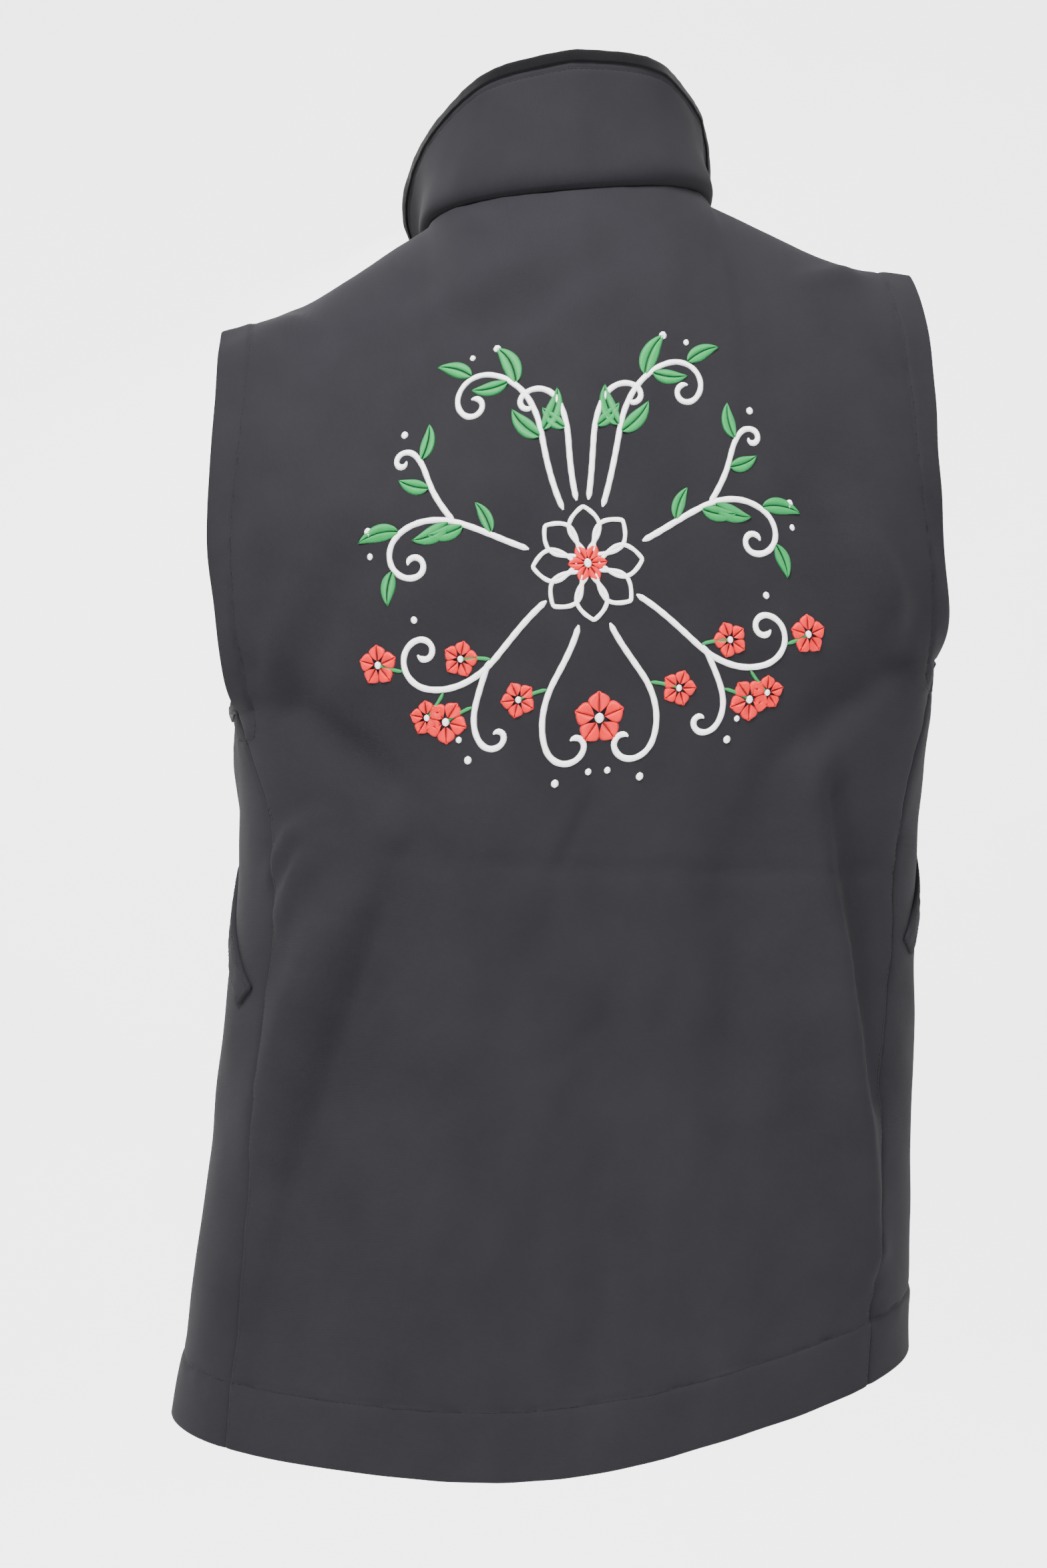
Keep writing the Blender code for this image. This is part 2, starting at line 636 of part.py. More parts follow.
# Collar and the layer inside it, which rolls over its top edge
outer, out, _ = collar_cloth(COLLAR_S[None, :], COLLAR_H[:, None])
shell("collar", outer, outer - out * CLOTH, "softshell")
facing_s = COLLAR_S[1:-1]
outer, out, up = collar_cloth(facing_s[None, :], COLLAR_H[:, None])
inside = outer - out * (CLOTH + SEAM_GAP)
middle = outer[-1] - out[-1] * CLOTH / 2
roll = CLOTH / 2 + SEAM_GAP
over = [middle + roll * (up[-1] * np.cos(a) + out[-1] * np.sin(a)) for a in (-0.8, 0.0, 0.8)]
over_out = [up[-1] * np.cos(a) + out[-1] * np.sin(a) for a in (-0.8, 0.0, 0.8)]
edge, edge_out, _ = collar_cloth(facing_s[None, :], np.array([[1.0], [ROLLED_EDGE]]))
facing = np.concatenate([inside, over, edge + edge_out * SEAM_GAP])
facing_out = np.concatenate([-out, over_out, edge_out])
shell("collar_facing", facing + facing_out * FACING, facing, "fleece")

# Zip: a tape behind each edge, a row of teeth beside it, and the box that joins them
edges = {side: zip_edge(side) for side in ("left", "right")}
for side, (points, out, into, wall) in edges.items():
    front = wall + SEAM_GAP
    rows = bar_rows(points, out, into, -TAPE_UNDER, 0.0028, front, front + TAPE_CLOTH)
    beam("zip_tape_" + side, rows, "zip tape")
    front = wall + SEAM_GAP + TAPE_CLOTH / 2 - TOOTH_DEPTH / 2
    near = ZIP_HALF_GAP - TOOTH_HALF - SEAM_GAP / 2
    rows = bar_rows(points, out, into, near, near + TOOTH_HALF, front, front + TOOTH_DEPTH)
    rows[1] = rows[1] + (rows[2] - rows[1]) * 0.15
    beam("zip_teeth_" + side, rows[1:], "moulded teeth")
middle = (edges["left"][0] + edges["right"][0]) / 2
out = unit(edges["left"][1] + edges["right"][1])
across = unit(edges["left"][0] - edges["right"][0])
box = bar_rows(middle[:2], out[:2], across[:2], -0.0023, 0.0023, 0.0010, 0.0040)
beam("zip_box", box, "moulded teeth")

# Slider with its arch, and the pull that swings in it
at = np.array([np.interp(SLIDER_AT, ROWS, middle[: len(ROWS), k]) for k in range(3)])
teeth_front = CLOTH + SEAM_GAP + TAPE_CLOTH / 2 - TOOTH_DEPTH / 2
HINGE_BASE = at + np.array([0, teeth_front - SLIDER_CLEAR, 0])
plate = [(i, 0, k) for i in range(3) for k in range(5)]
cells("zip_slider", HINGE_BASE, SLIDER_X, SLIDER_OUT, SLIDER_UP, plate + list(SLIDER_ARCH),
      "painted metal")
tab = [(i, 0, k) for i in range(3) for k in range(3) if (i, 0, k) != PULL_WINDOW]
cells("zip_pull", HINGE_BASE, PULL_X, PULL_OUT, PULL_UP, tab, "painted metal")

# Pocket welts, from the points of the fronts moved out
low, high = np.array(POCKET_LOW), np.array(POCKET_HIGH)
way = (high - low) * np.array([-FRONT_GIRTH, 1])
across_way = np.array([way[1], -way[0]]) / np.linalg.norm(way) * WELT_WIDTH / 2
share = np.linspace(0, 1, WELT_ROWS + 1)[:, None]
for side in ("left", "right"):
    u_line = low[0] + (high[0] - low[0]) * share
    z_line = low[1] + (high[1] - low[1]) * share
    over = np.array([[-1.0, -0.33, 0.33, 1.0]])
    u = u_line + over * across_way[0] / -FRONT_GIRTH
    z = z_line + over * across_way[1]
    hem = hem_height(panel_angle("front", u, np.full(u.shape, HEM_SIDE_Z)))
    outer, out = on_grid(*grids["front_" + side], u, (z - hem) / (ARMPIT_Z - hem))
    under = outer + out * WELT_CLEAR
    shell("pocket_welt_" + side, under + out * WELT_CLOTH, under, "softshell")
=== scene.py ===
import math
import bmesh
import bpy
import numpy as np
from mathutils import Matrix, Vector


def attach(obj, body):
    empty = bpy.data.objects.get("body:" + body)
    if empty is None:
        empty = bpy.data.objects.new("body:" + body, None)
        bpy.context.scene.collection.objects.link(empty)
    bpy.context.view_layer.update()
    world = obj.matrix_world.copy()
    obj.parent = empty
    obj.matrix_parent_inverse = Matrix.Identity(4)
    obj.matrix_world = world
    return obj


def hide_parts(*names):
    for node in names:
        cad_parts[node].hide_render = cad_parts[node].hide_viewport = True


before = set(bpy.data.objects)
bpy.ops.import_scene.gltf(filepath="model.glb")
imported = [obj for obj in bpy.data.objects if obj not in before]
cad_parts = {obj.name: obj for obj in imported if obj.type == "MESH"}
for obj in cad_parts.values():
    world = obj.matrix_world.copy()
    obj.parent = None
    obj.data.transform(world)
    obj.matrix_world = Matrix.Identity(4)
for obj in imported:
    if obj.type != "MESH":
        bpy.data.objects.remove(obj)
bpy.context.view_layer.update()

# The form of the worn vest, in metres. Rows read from the hem up, or from the back forward.
vestForm = {
    "body": (  # height, half width, depth behind, depth before, side seam in degrees
        (-0.71, 0.218, 0.139, 0.141, 63.0),
        (-0.64, 0.2125, 0.138, 0.139, 64.5),
        (-0.54, 0.2065, 0.135, 0.134, 66.0),
        (-0.44, 0.202, 0.131, 0.129, 67.0),
        (-0.38, 0.2, 0.131, 0.1285, 68.0),
        (-0.33, 0.202, 0.1325, 0.1285, 71.5),
        (-0.28, 0.206, 0.134, 0.129, 81.0),
    ),
    "hang": (  # height, sideways shift, left side down and turn in degrees
        (-0.71, 0.0495, 2.4, -1.5),
        (-0.64, 0.041, 2.4, -1.5),
        (-0.58, 0.0335, 2.3, -1.5),
        (-0.46, 0.0195, 1.6, -1.0),
        (-0.37, 0.01, 1.5, 0.0),
        (-0.28, 0.003, 1.8, 0.0),
        (-0.19, 0.0075, 2.3, 0.0),
        (-0.1, 0.003, 2.9, 0.0),
        (-0.02, 0.0, 2.9, 0.0),
        (0.1, -0.002, 2.9, 0.0),
    ),
    "neck": (  # share from centre back, neck seam x y z, collar's top edge x y z
        (0.0, 0.0, 0.064, 0.0, 0.0, 0.056, 0.08),
        (0.19, 0.045, 0.053, 0.001, 0.045, 0.042, 0.076),
        (0.36, 0.073, 0.026, 0.002, 0.067, 0.014, 0.067),
        (0.49, 0.083, -0.004, 0.0, 0.08, -0.012, 0.058),
        (0.65, 0.079, -0.043, -0.013, 0.09, -0.046, 0.046),
        (0.82, 0.063, -0.078, -0.034, 0.095, -0.082, 0.028),
        (1.0, 0.036, -0.106, -0.062, 0.084, -0.118, 0.004),
    ),
    "shoulder": (  # share from neck to armhole, x y z
        (0.0, 0.083, -0.004, 0.0),
        (0.18, 0.105, -0.006, -0.012),
        (0.54, 0.149, -0.009, -0.0355),
        (0.7, 0.168, -0.01, -0.0418),
        (1.0, 0.2055, -0.012, -0.049),
    ),
    "armholeBack": (  # share from side seam up to the shoulder, x y z
        (0.0, 0.203, 0.0282, -0.28),
        (0.12, 0.208, 0.041, -0.264),
        (0.3, 0.209, 0.053, -0.224),
        (0.5, 0.209, 0.055, -0.174),
        (0.7, 0.208, 0.044, -0.12),
        (0.86, 0.2065, 0.022, -0.078),
        (1.0, 0.2055, -0.012, -0.049),
    ),
    "armholeFront": (  # the same
        (0.0, 0.203, 0.0282, -0.28),
        (0.12, 0.206, -0.005, -0.284),
        (0.25, 0.206, -0.034, -0.268),
        (0.45, 0.2055, -0.053, -0.218),
        (0.65, 0.2055, -0.056, -0.162),
        (0.85, 0.2055, -0.04, -0.094),
        (1.0, 0.2055, -0.0123, -0.049),
    ),
    "opening": (  # share from underarm height up to the neck, x y z
        (0.0, 0.0055, -0.129, -0.28),
        (0.2, 0.0055, -0.133, -0.235),
        (0.42, 0.0055, -0.1335, -0.186),
        (0.6, 0.012, -0.13, -0.147),
        (0.8, 0.023, -0.12, -0.104),
        (1.0, 0.036, -0.106, -0.062),
    ),
    "armpit": -0.28,  # height of the underarm
    "hemSide": -0.68,  # height of the hem at the side
    "hemBackDrop": 0.027,  # how far the hem drops from there to the middle
    "hemFrontDrop": 0.006,
    "backNeck": 0.44,  # share of a panel's half width that lies on the neck seam
    "frontNeck": 0.46,
    "sideNeck": 0.49,  # share of the neck line at which the shoulder starts
    "topWay": {  # way of the cloth at the neck, its reach, way at the shoulder
        "back": ((0, -0.50, 0.87), 0.11, (0, -0.97, -0.22)),
        "front": ((0.35, 0.28, 0.89), 0.14, (0, 0.97, 0.22)),
    },
    "shoulderReach": 0.165,
    "full": {"back": 0.016, "front": -0.012},  # fullness over the shoulder blades and chest
    "squareness": 2.35,  # power of the body's section, 2 is an ellipse
    "zipHalf": 0.0055,  # from the middle to a front's edge
    "seamGap": 0.0003,
    "seamReach": 0.4,  # twice the radius at a side seam, turns half a gap into radians
    "backGirth": 0.22,  # half a back, and a whole front, along the cloth
    "frontGirth": 0.28,
    "armWidth": 0.235,  # half width of a panel across the armhole
    "drop": 0.41,  # from the hem to the underarm
    "yoke": 0.25,  # from the underarm to the top
}

clothMake = {
    "wall": 0.0018,
    "hemBand": 0.035,  # turned up at the hem
    "armBand": 0.019,  # turned in at the armhole
    "bandRise": 0.0008,  # how much thicker a turned band is
    "bandEase": 0.0022,
    "cell": 0.004,  # mesh spacing
    "seamDip": 0.0015,
    "seamReach": 0.0018,
    "stitchDip": 0.0009,
    "stitchReach": 0.0016,
    "creaseGain": 1.7,  # creases stand this many times as high as in their table
    "uneven": 0.00055,  # slow unevenness of the whole cloth
    "pucker": 0.55,
    "rowRipple": 0.00022,  # ripples beside stitch rows and seams
    "seamRipple": 0.00025,
    # waves: seed, count, longest and shortest in metres
    "unevenWaves": (11, 26, 0.16, 0.035),
    "puckerWaves": (23, 14, 0.02, 0.007),
    "rippleWaves": (31, 16, 0.045, 0.012),
    "topFade": 0.15,  # shares over which creases die out below the top and beside the zip
    "zipFade": 0.16,
    "rippleReach": (0.010, 0.008, 0.012, 0.010),  # from hem row, arm row, side seam and top
}


def spline(knots, values, x):
    knots, values = np.asarray(knots, float), np.asarray(values, float)
    x = np.clip(x, knots[0], knots[-1])
    step = np.diff(knots)
    slope = np.diff(values) / step
    size = len(knots)
    bend = np.eye(size)
    known = np.zeros(size)
    for i in range(1, size - 1):
        bend[i, i - 1:i + 2] = step[i - 1], 2 * (step[i - 1] + step[i]), step[i]
        known[i] = 6 * (slope[i] - slope[i - 1])
    curve = np.linalg.solve(bend, known)
    i = np.clip(np.searchsorted(knots, x) - 1, 0, size - 2)
    left, right = x - knots[i], knots[i + 1] - x
    return ((curve[i] * right**3 + curve[i + 1] * left**3) / (6 * step[i])
            + (values[i] / step[i] - curve[i] * step[i] / 6) * right
            + (values[i + 1] / step[i] - curve[i + 1] * step[i] / 6) * left)


def column(table, k, x):
    rows = vestForm[table]
    return spline([row[0] for row in rows], [row[k] for row in rows], x)


def place(table, at, first=1):
    return np.stack([column(table, k, at) for k in range(first, first + 3)], axis=-1)


def ease(x):
    x = np.clip(x, 0, 1)
    return x * x * (3 - 2 * x)


def furrow(distance, reach):
    return np.exp(-((distance / reach) ** 2))


def pair(u, w):
    return np.broadcast_arrays(np.asarray(u, float), np.asarray(w, float))


def runAlong(points):
    # distance along a line, from its first point to each of its points
    return np.concatenate([[0], np.cumsum(np.linalg.norm(np.diff(points, axis=0), axis=1))])


def wayAt(degrees):
    return math.cos(math.radians(degrees)), math.sin(math.radians(degrees))


def unit(v):
    return v / np.maximum(np.linalg.norm(v, axis=-1, keepdims=True), 1e-12)


def worn(points):
    x, y, z = points[..., 0], points[..., 1], points[..., 2]
    turn = np.radians(column("hang", 3, z))
    tilt = np.tan(np.radians(column("hang", 2, z)))
    return np.stack([x * np.cos(turn) - y * np.sin(turn) + column("hang", 1, z),
                     x * np.sin(turn) + y * np.cos(turn), z - x * tilt], axis=-1)


def body(angle, z):
    across, along = np.sin(angle), np.cos(angle)
    depth = np.where(along > 0, column("body", 2, z), column("body", 3, z))
    n = vestForm["squareness"]
    r = ((np.abs(across) / column("body", 1, z)) ** n + (np.abs(along) / depth) ** n) ** (-1 / n)
    return np.stack([r * across, r * along, z + 0 * r], axis=-1)


def hemHeight(angle):
    behind, before = np.maximum(np.cos(angle), 0), np.maximum(-np.cos(angle), 0)
    return (vestForm["hemSide"] - vestForm["hemBackDrop"] * behind**2
            - vestForm["hemFrontDrop"] * before**2)


def panelAngle(panel, u, z):
    seam = np.radians(column("body", 4, z))
    gap = vestForm["seamGap"] / vestForm["seamReach"]
    if panel == "back":
        return u * (seam - gap)
    zipAngle = np.pi - np.arctan(vestForm["zipHalf"] / column("body", 3, z))
    return zipAngle + u * (seam + gap - zipAngle)


def topEdge(panel, size):
    # top edge of a panel, and the way and reach of the cloth where it meets that edge
    middle, reach, side = vestForm["topWay"][panel]
    if panel == "back":
        share, gap = vestForm["backNeck"], np.zeros(3)
        at = np.minimum(size / share, 1) * vestForm["sideNeck"]
    else:
        share, gap = vestForm["frontNeck"], np.array([0, -vestForm["seamGap"], 0])
        at = 1 - np.minimum(size / share, 1) * (1 - vestForm["sideNeck"])
    shoulder = place("shoulder", np.clip((size - share) / (1 - share), 0, 1)) + gap
    blend = ease(size / 0.7)[..., None]
    way = unit(middle + (np.array(side) - middle) * blend)
    way = way * (reach + (vestForm["shoulderReach"] - reach) * blend)
    return np.where((size < share)[..., None], place("neck", at), shoulder), way


def softTop(panel, size):
    total = 0.0
    for weight, step in zip((1, 4, 6, 4, 1), (-0.16, -0.08, 0.0, 0.08, 0.16)):
        near = size + step
        inside = np.where(near < 0, -near, np.where(near > 1, 2 - near, near))
        point = topEdge(panel, inside)[0]
        end = topEdge(panel, np.where(near < 0.5, 0.0, 1.0))[0]
        beyond = ((near < 0) | (near > 1))[..., None]
        total = total + weight / 16 * np.where(beyond, 2 * end - point, point)
    return total


def strand(panel, size, t):
    z = np.full(np.shape(size), vestForm["armpit"])
    angle = panelAngle(panel, size, z)
    foot = body(angle, z)
    edge, way = topEdge(panel, size)
    top = softTop(panel, size)
    lean = (foot - body(angle, z - 0.01)) / 0.01 * (top[..., 2] - z)[..., None]
    t = np.asarray(t)[..., None]
    return ((2 * t**3 - 3 * t**2 + 1) * foot + (t**3 - 2 * t**2 + t) * lean
            + (3 * t**2 - 2 * t**3) * top + (t**3 - t**2) * way + t**7 * (edge - top))


def edgePull(panel, table, size, t):
    # what moves a panel's edge from its strand onto the table
    atEdge = np.full(np.shape(t), float(size))
    off = place(table, t) - strand(panel, atEdge, t)
    first = place(table, 0.0 * t) - strand(panel, atEdge, 0.0 * t)
    last = place(table, 0.0 * t + 1) - strand(panel, atEdge, 0.0 * t + 1)
    t = t[..., None]
    return off - (1 - t) * first - t * last


def upper(panel, size, t):
    points = strand(panel, size, t)
    armhole = "armholeBack" if panel == "back" else "armholeFront"
    points = points + (size**4)[..., None] * edgePull(panel, armhole, 1, t)
    if panel == "front":
        points = points + ease(1 - size / 0.55)[..., None] * edgePull(panel, "opening", 0, t)
        points[..., 0] = np.maximum(points[..., 0], vestForm["zipHalf"])
    inner = size**3 if panel == "back" else (2 * size - 1) ** 2
    points[..., 1] += vestForm["full"][panel] * np.sin(np.pi * np.clip(t, 0, 1)) ** 1.5 * (1 - inner)
    return points


def panelForm(panel, u, w):
    # u runs from the middle line (0) to the side, w from hem (0) to underarm (1) to top (2)
    size = np.abs(u)
    hem = hemHeight(panelAngle(panel, size, np.full(size.shape, vestForm["hemSide"])))
    z = hem + (vestForm["armpit"] - hem) * np.clip(w, 0, 1)
    low = body(panelAngle(panel, size, z), z)
    return np.where((w <= 1)[..., None], low, upper(panel, size, np.clip(w - 1, 0, 1)))


def sideOf(piece, u):
    return np.where(u < 0, -1.0, 1.0) if piece == "back" else {"left": 1, "right": -1}[piece]


def bare(piece, u, w):
    points = panelForm("back" if piece == "back" else "front", u, w)
    points[..., 0] *= sideOf(piece, u)
    return worn(points), points[..., 2]


def girth(piece, u):
    if piece == "back":
        return u * vestForm["backGirth"]
    return sideOf(piece, u) * (vestForm["backGirth"] + (1 - u) * vestForm["frontGirth"])


def bodyNormal(piece, u, w):
    panel = "back" if piece == "back" else "front"
    size = np.abs(u)
    side = sideOf(piece, u)
    z = panelForm(panel, u, np.minimum(w, 1))[..., 2]
    angle = panelAngle(panel, size, z)
    mirror = np.stack([side + 0 * z, 1 + 0 * z, 1 + 0 * z], axis=-1)
    roundBody = worn(body(angle + 0.01, z) * mirror) - worn(body(angle - 0.01, z) * mirror)
    up = worn(body(angle, z + 0.003) * mirror) - worn(body(angle, z - 0.003) * mirror)
    return unit(np.cross(up, roundBody)) * (side + 0 * z)[..., None]


def yokeNormal(piece, u, w):
    step = 0.004
    low = -1.0 if piece == "back" else 0.0
    across = (bare(piece, np.minimum(u + step, 1), w)[0]
              - bare(piece, np.maximum(u - step, low), w)[0])
    up = bare(piece, u, np.minimum(w + step, 2))[0] - bare(piece, u, np.maximum(w - step, 1))[0]
    out = unit(np.cross(across, up)) * (1 if piece == "left" else -1)
    share = vestForm["backNeck"] if piece == "back" else vestForm["frontNeck"]
    size = np.clip((np.abs(u) - share) / (1 - share), 0, 1)
    run = (place("shoulder", np.minimum(size + 0.02, 1))
           - place("shoulder", np.maximum(size - 0.02, 0)))
    seam = unit(np.cross(run, np.array([0.0, 1.0, 0.0])))
    seam[..., 0] *= sideOf(piece, u)
    onSeam = ease((w - 1.97) / 0.029) * (np.abs(u) >= share - 1e-6)
    return unit(out + (seam - out) * onSeam[..., None])


# Creases drawn as lines of (girth from centre back, height), with their reach to the left and
# to the right of the line and their rise, in millimetres. Girth is above 0 on the wearer's left.
creases = (
    # back, lower part
    (((212, -396), (200, -376), (188, -360)), 7, 10, 4.2),
    (((219, -372), (204, -354), (184, -344)), 6, 8, 3),
    (((138, -372), (158, -430), (176, -490), (192, -545), (203, -618)),
     20, 13, -6.8),
    (((176, -395), (199, -450), (212, -520)), 13, 17, 4.6),
    (((86, -368), (100, -480), (107, -612)), 34, 38, 4.6),
    (((-106, -365), (-112, -440), (-119, -530)), 30, 26, -4.6),
    (((-142, -336), (-158, -385), (-177, -445), (-195, -525), (-216, -612)),
     10, 16, 6.2),
    (((-163, -352), (-186, -400), (-203, -470), (-214, -520)),
     11, 13, -4.4),
    (((-20, -430), (-30, -540), (-33, -650)), 26, 30, -2.8),
    (((30, -500), (42, -560), (50, -640)), 18, 22, 1.6),
    (((-66, -520), (-70, -600), (-74, -670)), 16, 22, 1.6),
    (((109, -373.5), (30, -380), (-80, -388), (-217, -397)),
     3, 4.5, -0.7),
    (((10, -346), (20, -364), (31, -381)), 5, 6, -1),
    (((-10, -470), (20, -486), (60, -492)), 6, 8, -0.6),
    # back, upper part
    (((-16, -40), (18, -62), (60, -85)), 14, 18, -2.8),
    (((20, -34), (60, -56), (105, -70)), 11, 13, 1.8),
    (((196, -44), (182, -50), (166, -62)), 6, 8, 2.2),
    (((-141, -59), (-164, -54), (-188, -46)), 6, 8, 2.2),
    (((-122, -188), (-138, -226), (-154, -272)), 9, 13, -2.6),
    (((-150, -196), (-164, -232), (-176, -268)), 8, 10, 2),
    (((128, -196), (146, -236), (166, -280)), 10, 14, -2.6),
    (((158, -206), (172, -240), (184, -272)), 8, 10, 2),
    (((190, -262), (166, -296), (132, -338)), 15, 18, -4),
    (((-190, -255), (-164, -286), (-132, -322)), 15, 18, -4),
    # fronts
    (((280, -290), (330, -322), (384, -362)), 16, 22, -4.8),
    (((-270, -290), (-320, -318), (-374, -352)), 16, 22, -4.8),
    (((262, -300), (300, -336), (336, -392)), 12, 15, 3),
    (((-256, -306), (-296, -348), (-322, -402)), 12, 15, 2.8),
    (((332, -360), (318, -470), (311, -622)), 26, 30, -4.8),
    (((-340, -350), (-322, -470), (-310, -620)), 26, 30, 4.2),
    (((412, -415), (402, -520), (396, -640)), 24, 28, 4.4),
    (((-404, -400), (-398, -520), (-400, -640)), 24, 28, -4.4),
    (((366, -520), (360, -580), (352, -650)), 14, 18, 2),
    (((-448, -450), (-442, -530), (-440, -600)), 13, 18, 2.2),
    (((452, -180), (430, -230), (396, -280)), 13, 16, -2.2),
    (((-450, -170), (-424, -220), (-392, -262)), 13, 16, -2.2),
    (((300, -150), (316, -200), (322, -250)), 12, 15, -2.2),
    (((-300, -150), (-314, -196), (-320, -246)), 12, 15, -2.2),
)


def creaseRise(g, z):
    total = np.zeros(np.shape(g))
    for line, reachLeft, reachRight, rise in creases:
        knots = np.array(line) / 1000
        legs = np.linalg.norm(np.diff(knots, axis=0), axis=1)
        done = np.concatenate([[0], np.cumsum(legs)]) / legs.sum()
        best = np.full(np.shape(g), 1e9)
        side = np.zeros(np.shape(g))
        along = np.zeros(np.shape(g))
        for i, leg in enumerate(legs):
            way = (knots[i + 1] - knots[i]) / leg
            gx, zx = g - knots[i][0], z - knots[i][1]
            t = np.clip(gx * way[0] + zx * way[1], 0, leg)
            off = np.hypot(gx - t * way[0], zx - t * way[1])
            near = off < best
            best = np.where(near, off, best)
            side = np.where(near, gx * way[1] - zx * way[0], side)
            along = np.where(near, done[i] + (done[i + 1] - done[i]) * t / leg, along)
        reach = (reachRight + (reachLeft - reachRight) * ease(side / 0.006 + 0.5)) / 1000
        swell = 0.45 + 0.55 * np.sin(np.pi * np.clip(along, 0.02, 0.98)) ** 0.7
        total += rise / 1000 * swell * furrow(best, reach)
    return total


def waves(g, z, seed, count, longest, shortest):
    # soft unevenness of cloth from a few dozen plane waves
    dice = np.random.default_rng(seed)
    total = np.zeros(np.broadcast_shapes(np.shape(g), np.shape(z)))
    for _ in range(count):
        length = shortest * (longest / shortest) ** dice.random()
        turn = dice.random() * np.pi
        phase = dice.random() * 2 * np.pi
        way = 2 * np.pi / length
        total += np.sin(way * (g * np.cos(turn) + z * np.sin(turn)) + phase)
    return total / math.sqrt(count)


def armDistance(u, w):
    off = (1 - np.abs(u)) * vestForm["armWidth"]
    return np.where(w > 1, off, np.hypot(off, (1 - np.minimum(w, 1)) * vestForm["drop"]))


def clothAt(piece, u, w):
    # outer points, ways out and wall of a panel, with its creases, bands, seams and stitch rows
    make = clothMake
    u, w = pair(u, w)
    points, z = bare(piece, u, w)
    out = np.where((w <= 1)[..., None], bodyNormal(piece, u, w), yokeNormal(piece, u, w))
    g = girth(piece, u)
    fade = ease((2 - w) / make["topFade"])
    if piece != "back":
        fade = fade * ease(u / make["zipFade"])
    rise = make["creaseGain"] * creaseRise(g, z) * fade
    rise = rise + make["uneven"] * waves(g, z, *make["unevenWaves"]) * ease((2 - w) / 0.1)
    # turned hem and armhole
    overHem = np.clip(w, 0, 1) * vestForm["drop"] - make["hemBand"]
    overArm = armDistance(u, w) - make["armBand"]
    thick = make["bandRise"] * np.maximum(1 - ease(overHem / make["bandEase"]),
                                          1 - ease(overArm / make["bandEase"]))
    rise = rise + thick
    # stitch rows pull the cloth down and pucker it a little between stitches
    pucker = 1 + make["pucker"] * waves(g, z, *make["puckerWaves"])
    low = make["stitchDip"] * furrow(overHem, make["stitchReach"]) * (w < 1)
    side = make["stitchDip"] * furrow(overArm, make["stitchReach"])
    rise = rise - (low + side) * pucker
    ripple = waves(g, z, *make["rippleWaves"])
    byHem, byArm, bySide, byTop = make["rippleReach"]
    nearRow = furrow(overHem, byHem) * (w < 1) + furrow(overArm, byArm)
    rise = rise + make["rowRipple"] * ripple * nearRow
    # sewn edges roll in
    share, width = ((vestForm["backNeck"], vestForm["backGirth"]) if piece == "back"
                    else (vestForm["frontNeck"], vestForm["frontGirth"]))
    toSide, toTop = (1 - np.abs(u)) * width, (2 - w) * vestForm["yoke"]
    sewn = np.where(w <= 1.0, np.exp(-toSide / make["seamReach"]), 0)
    onShoulder = ease((np.abs(u) - share) / 0.03)
    sewn = np.maximum(sewn, np.exp(-toTop / make["seamReach"]) * (w > 1.5) * onShoulder)
    rise = rise - make["seamDip"] * sewn
    nearSide = np.exp(-toSide / bySide) * (w <= 1) + np.exp(-toTop / byTop) * (w > 1.5)
    rise = rise + make["seamRipple"] * ripple * nearSide
    return points + out * rise[..., None], out, make["wall"] + thick


def spread(stops, cell, near=()):
    # shares from the first stop to the last, with closer ones beside the places named
    first, last = stops
    extra = [round(at + off, 6) for at, offsets in near for off in offsets]
    marks = set(np.round(np.linspace(first, last, max(2, int(round((last - first) / cell)) + 1)), 6))
    marks |= {mark for mark in extra if first <= mark <= last}
    fixed = {round(first, 6), round(last, 6)} | set(extra)
    kept = []
    for mark in sorted(marks):
        close = kept and mark - kept[-1] < cell * 0.12
        if close and mark not in fixed:
            continue
        if close and kept[-1] not in fixed:
            kept.pop()
        kept.append(mark)
    return np.array(kept)


stitchSteps = np.array([-3.2, -2.0, -1.2, -0.6, 0.0, 0.6, 1.2, 2.0, 3.2]) / 1000
edgeSteps = np.array([0.0, 0.35, 0.8, 1.5, 2.6]) / 1000


def panelShares(piece):
    form, make = vestForm, clothMake
    width = form["armWidth"]
    girthHalf = form["backGirth"] if piece == "back" else form["frontGirth"]
    cell = make["cell"] / girthHalf
    near = [(1 - make["armBand"] / width, stitchSteps / width), (1.0, -edgeSteps / girthHalf)]
    if piece != "back":
        near.append((0.0, edgeSteps / girthHalf))
        near.append((0.006 / girthHalf, stitchSteps[2:-2] / girthHalf))
    half = spread((0.0, 1.0), cell, near)
    columns = np.concatenate([-half[:0:-1], half]) if piece == "back" else half
    low = spread((0.0, 1.0), make["cell"] / form["drop"], [
        (0.0, edgeSteps / form["drop"]),
        (make["hemBand"] / form["drop"], stitchSteps / form["drop"]),
        (1 - make["armBand"] / form["drop"], stitchSteps[1:-1] / form["drop"])])
    high = spread((1.0, 2.0), make["cell"] / form["yoke"], [(2.0, -edgeSteps / form["yoke"])])
    return columns, np.concatenate([low, high[1:]])


def readGrid(grid, rows, columns, u, w):
    # values on a grid, read between its points
    u, w = np.asarray(u, float), np.asarray(w, float)
    r = np.clip(np.searchsorted(rows, w) - 1, 0, len(rows) - 2)
    c = np.clip(np.searchsorted(columns, u) - 1, 0, len(columns) - 2)
    a = ((w - rows[r]) / (rows[r + 1] - rows[r]))
    b = ((u - columns[c]) / (columns[c + 1] - columns[c]))
    if grid.ndim == 3:
        a, b = a[..., None], b[..., None]
    return ((1 - a) * (1 - b) * grid[r, c] + (1 - a) * b * grid[r, c + 1]
            + a * (1 - b) * grid[r + 1, c] + a * b * grid[r + 1, c + 1])


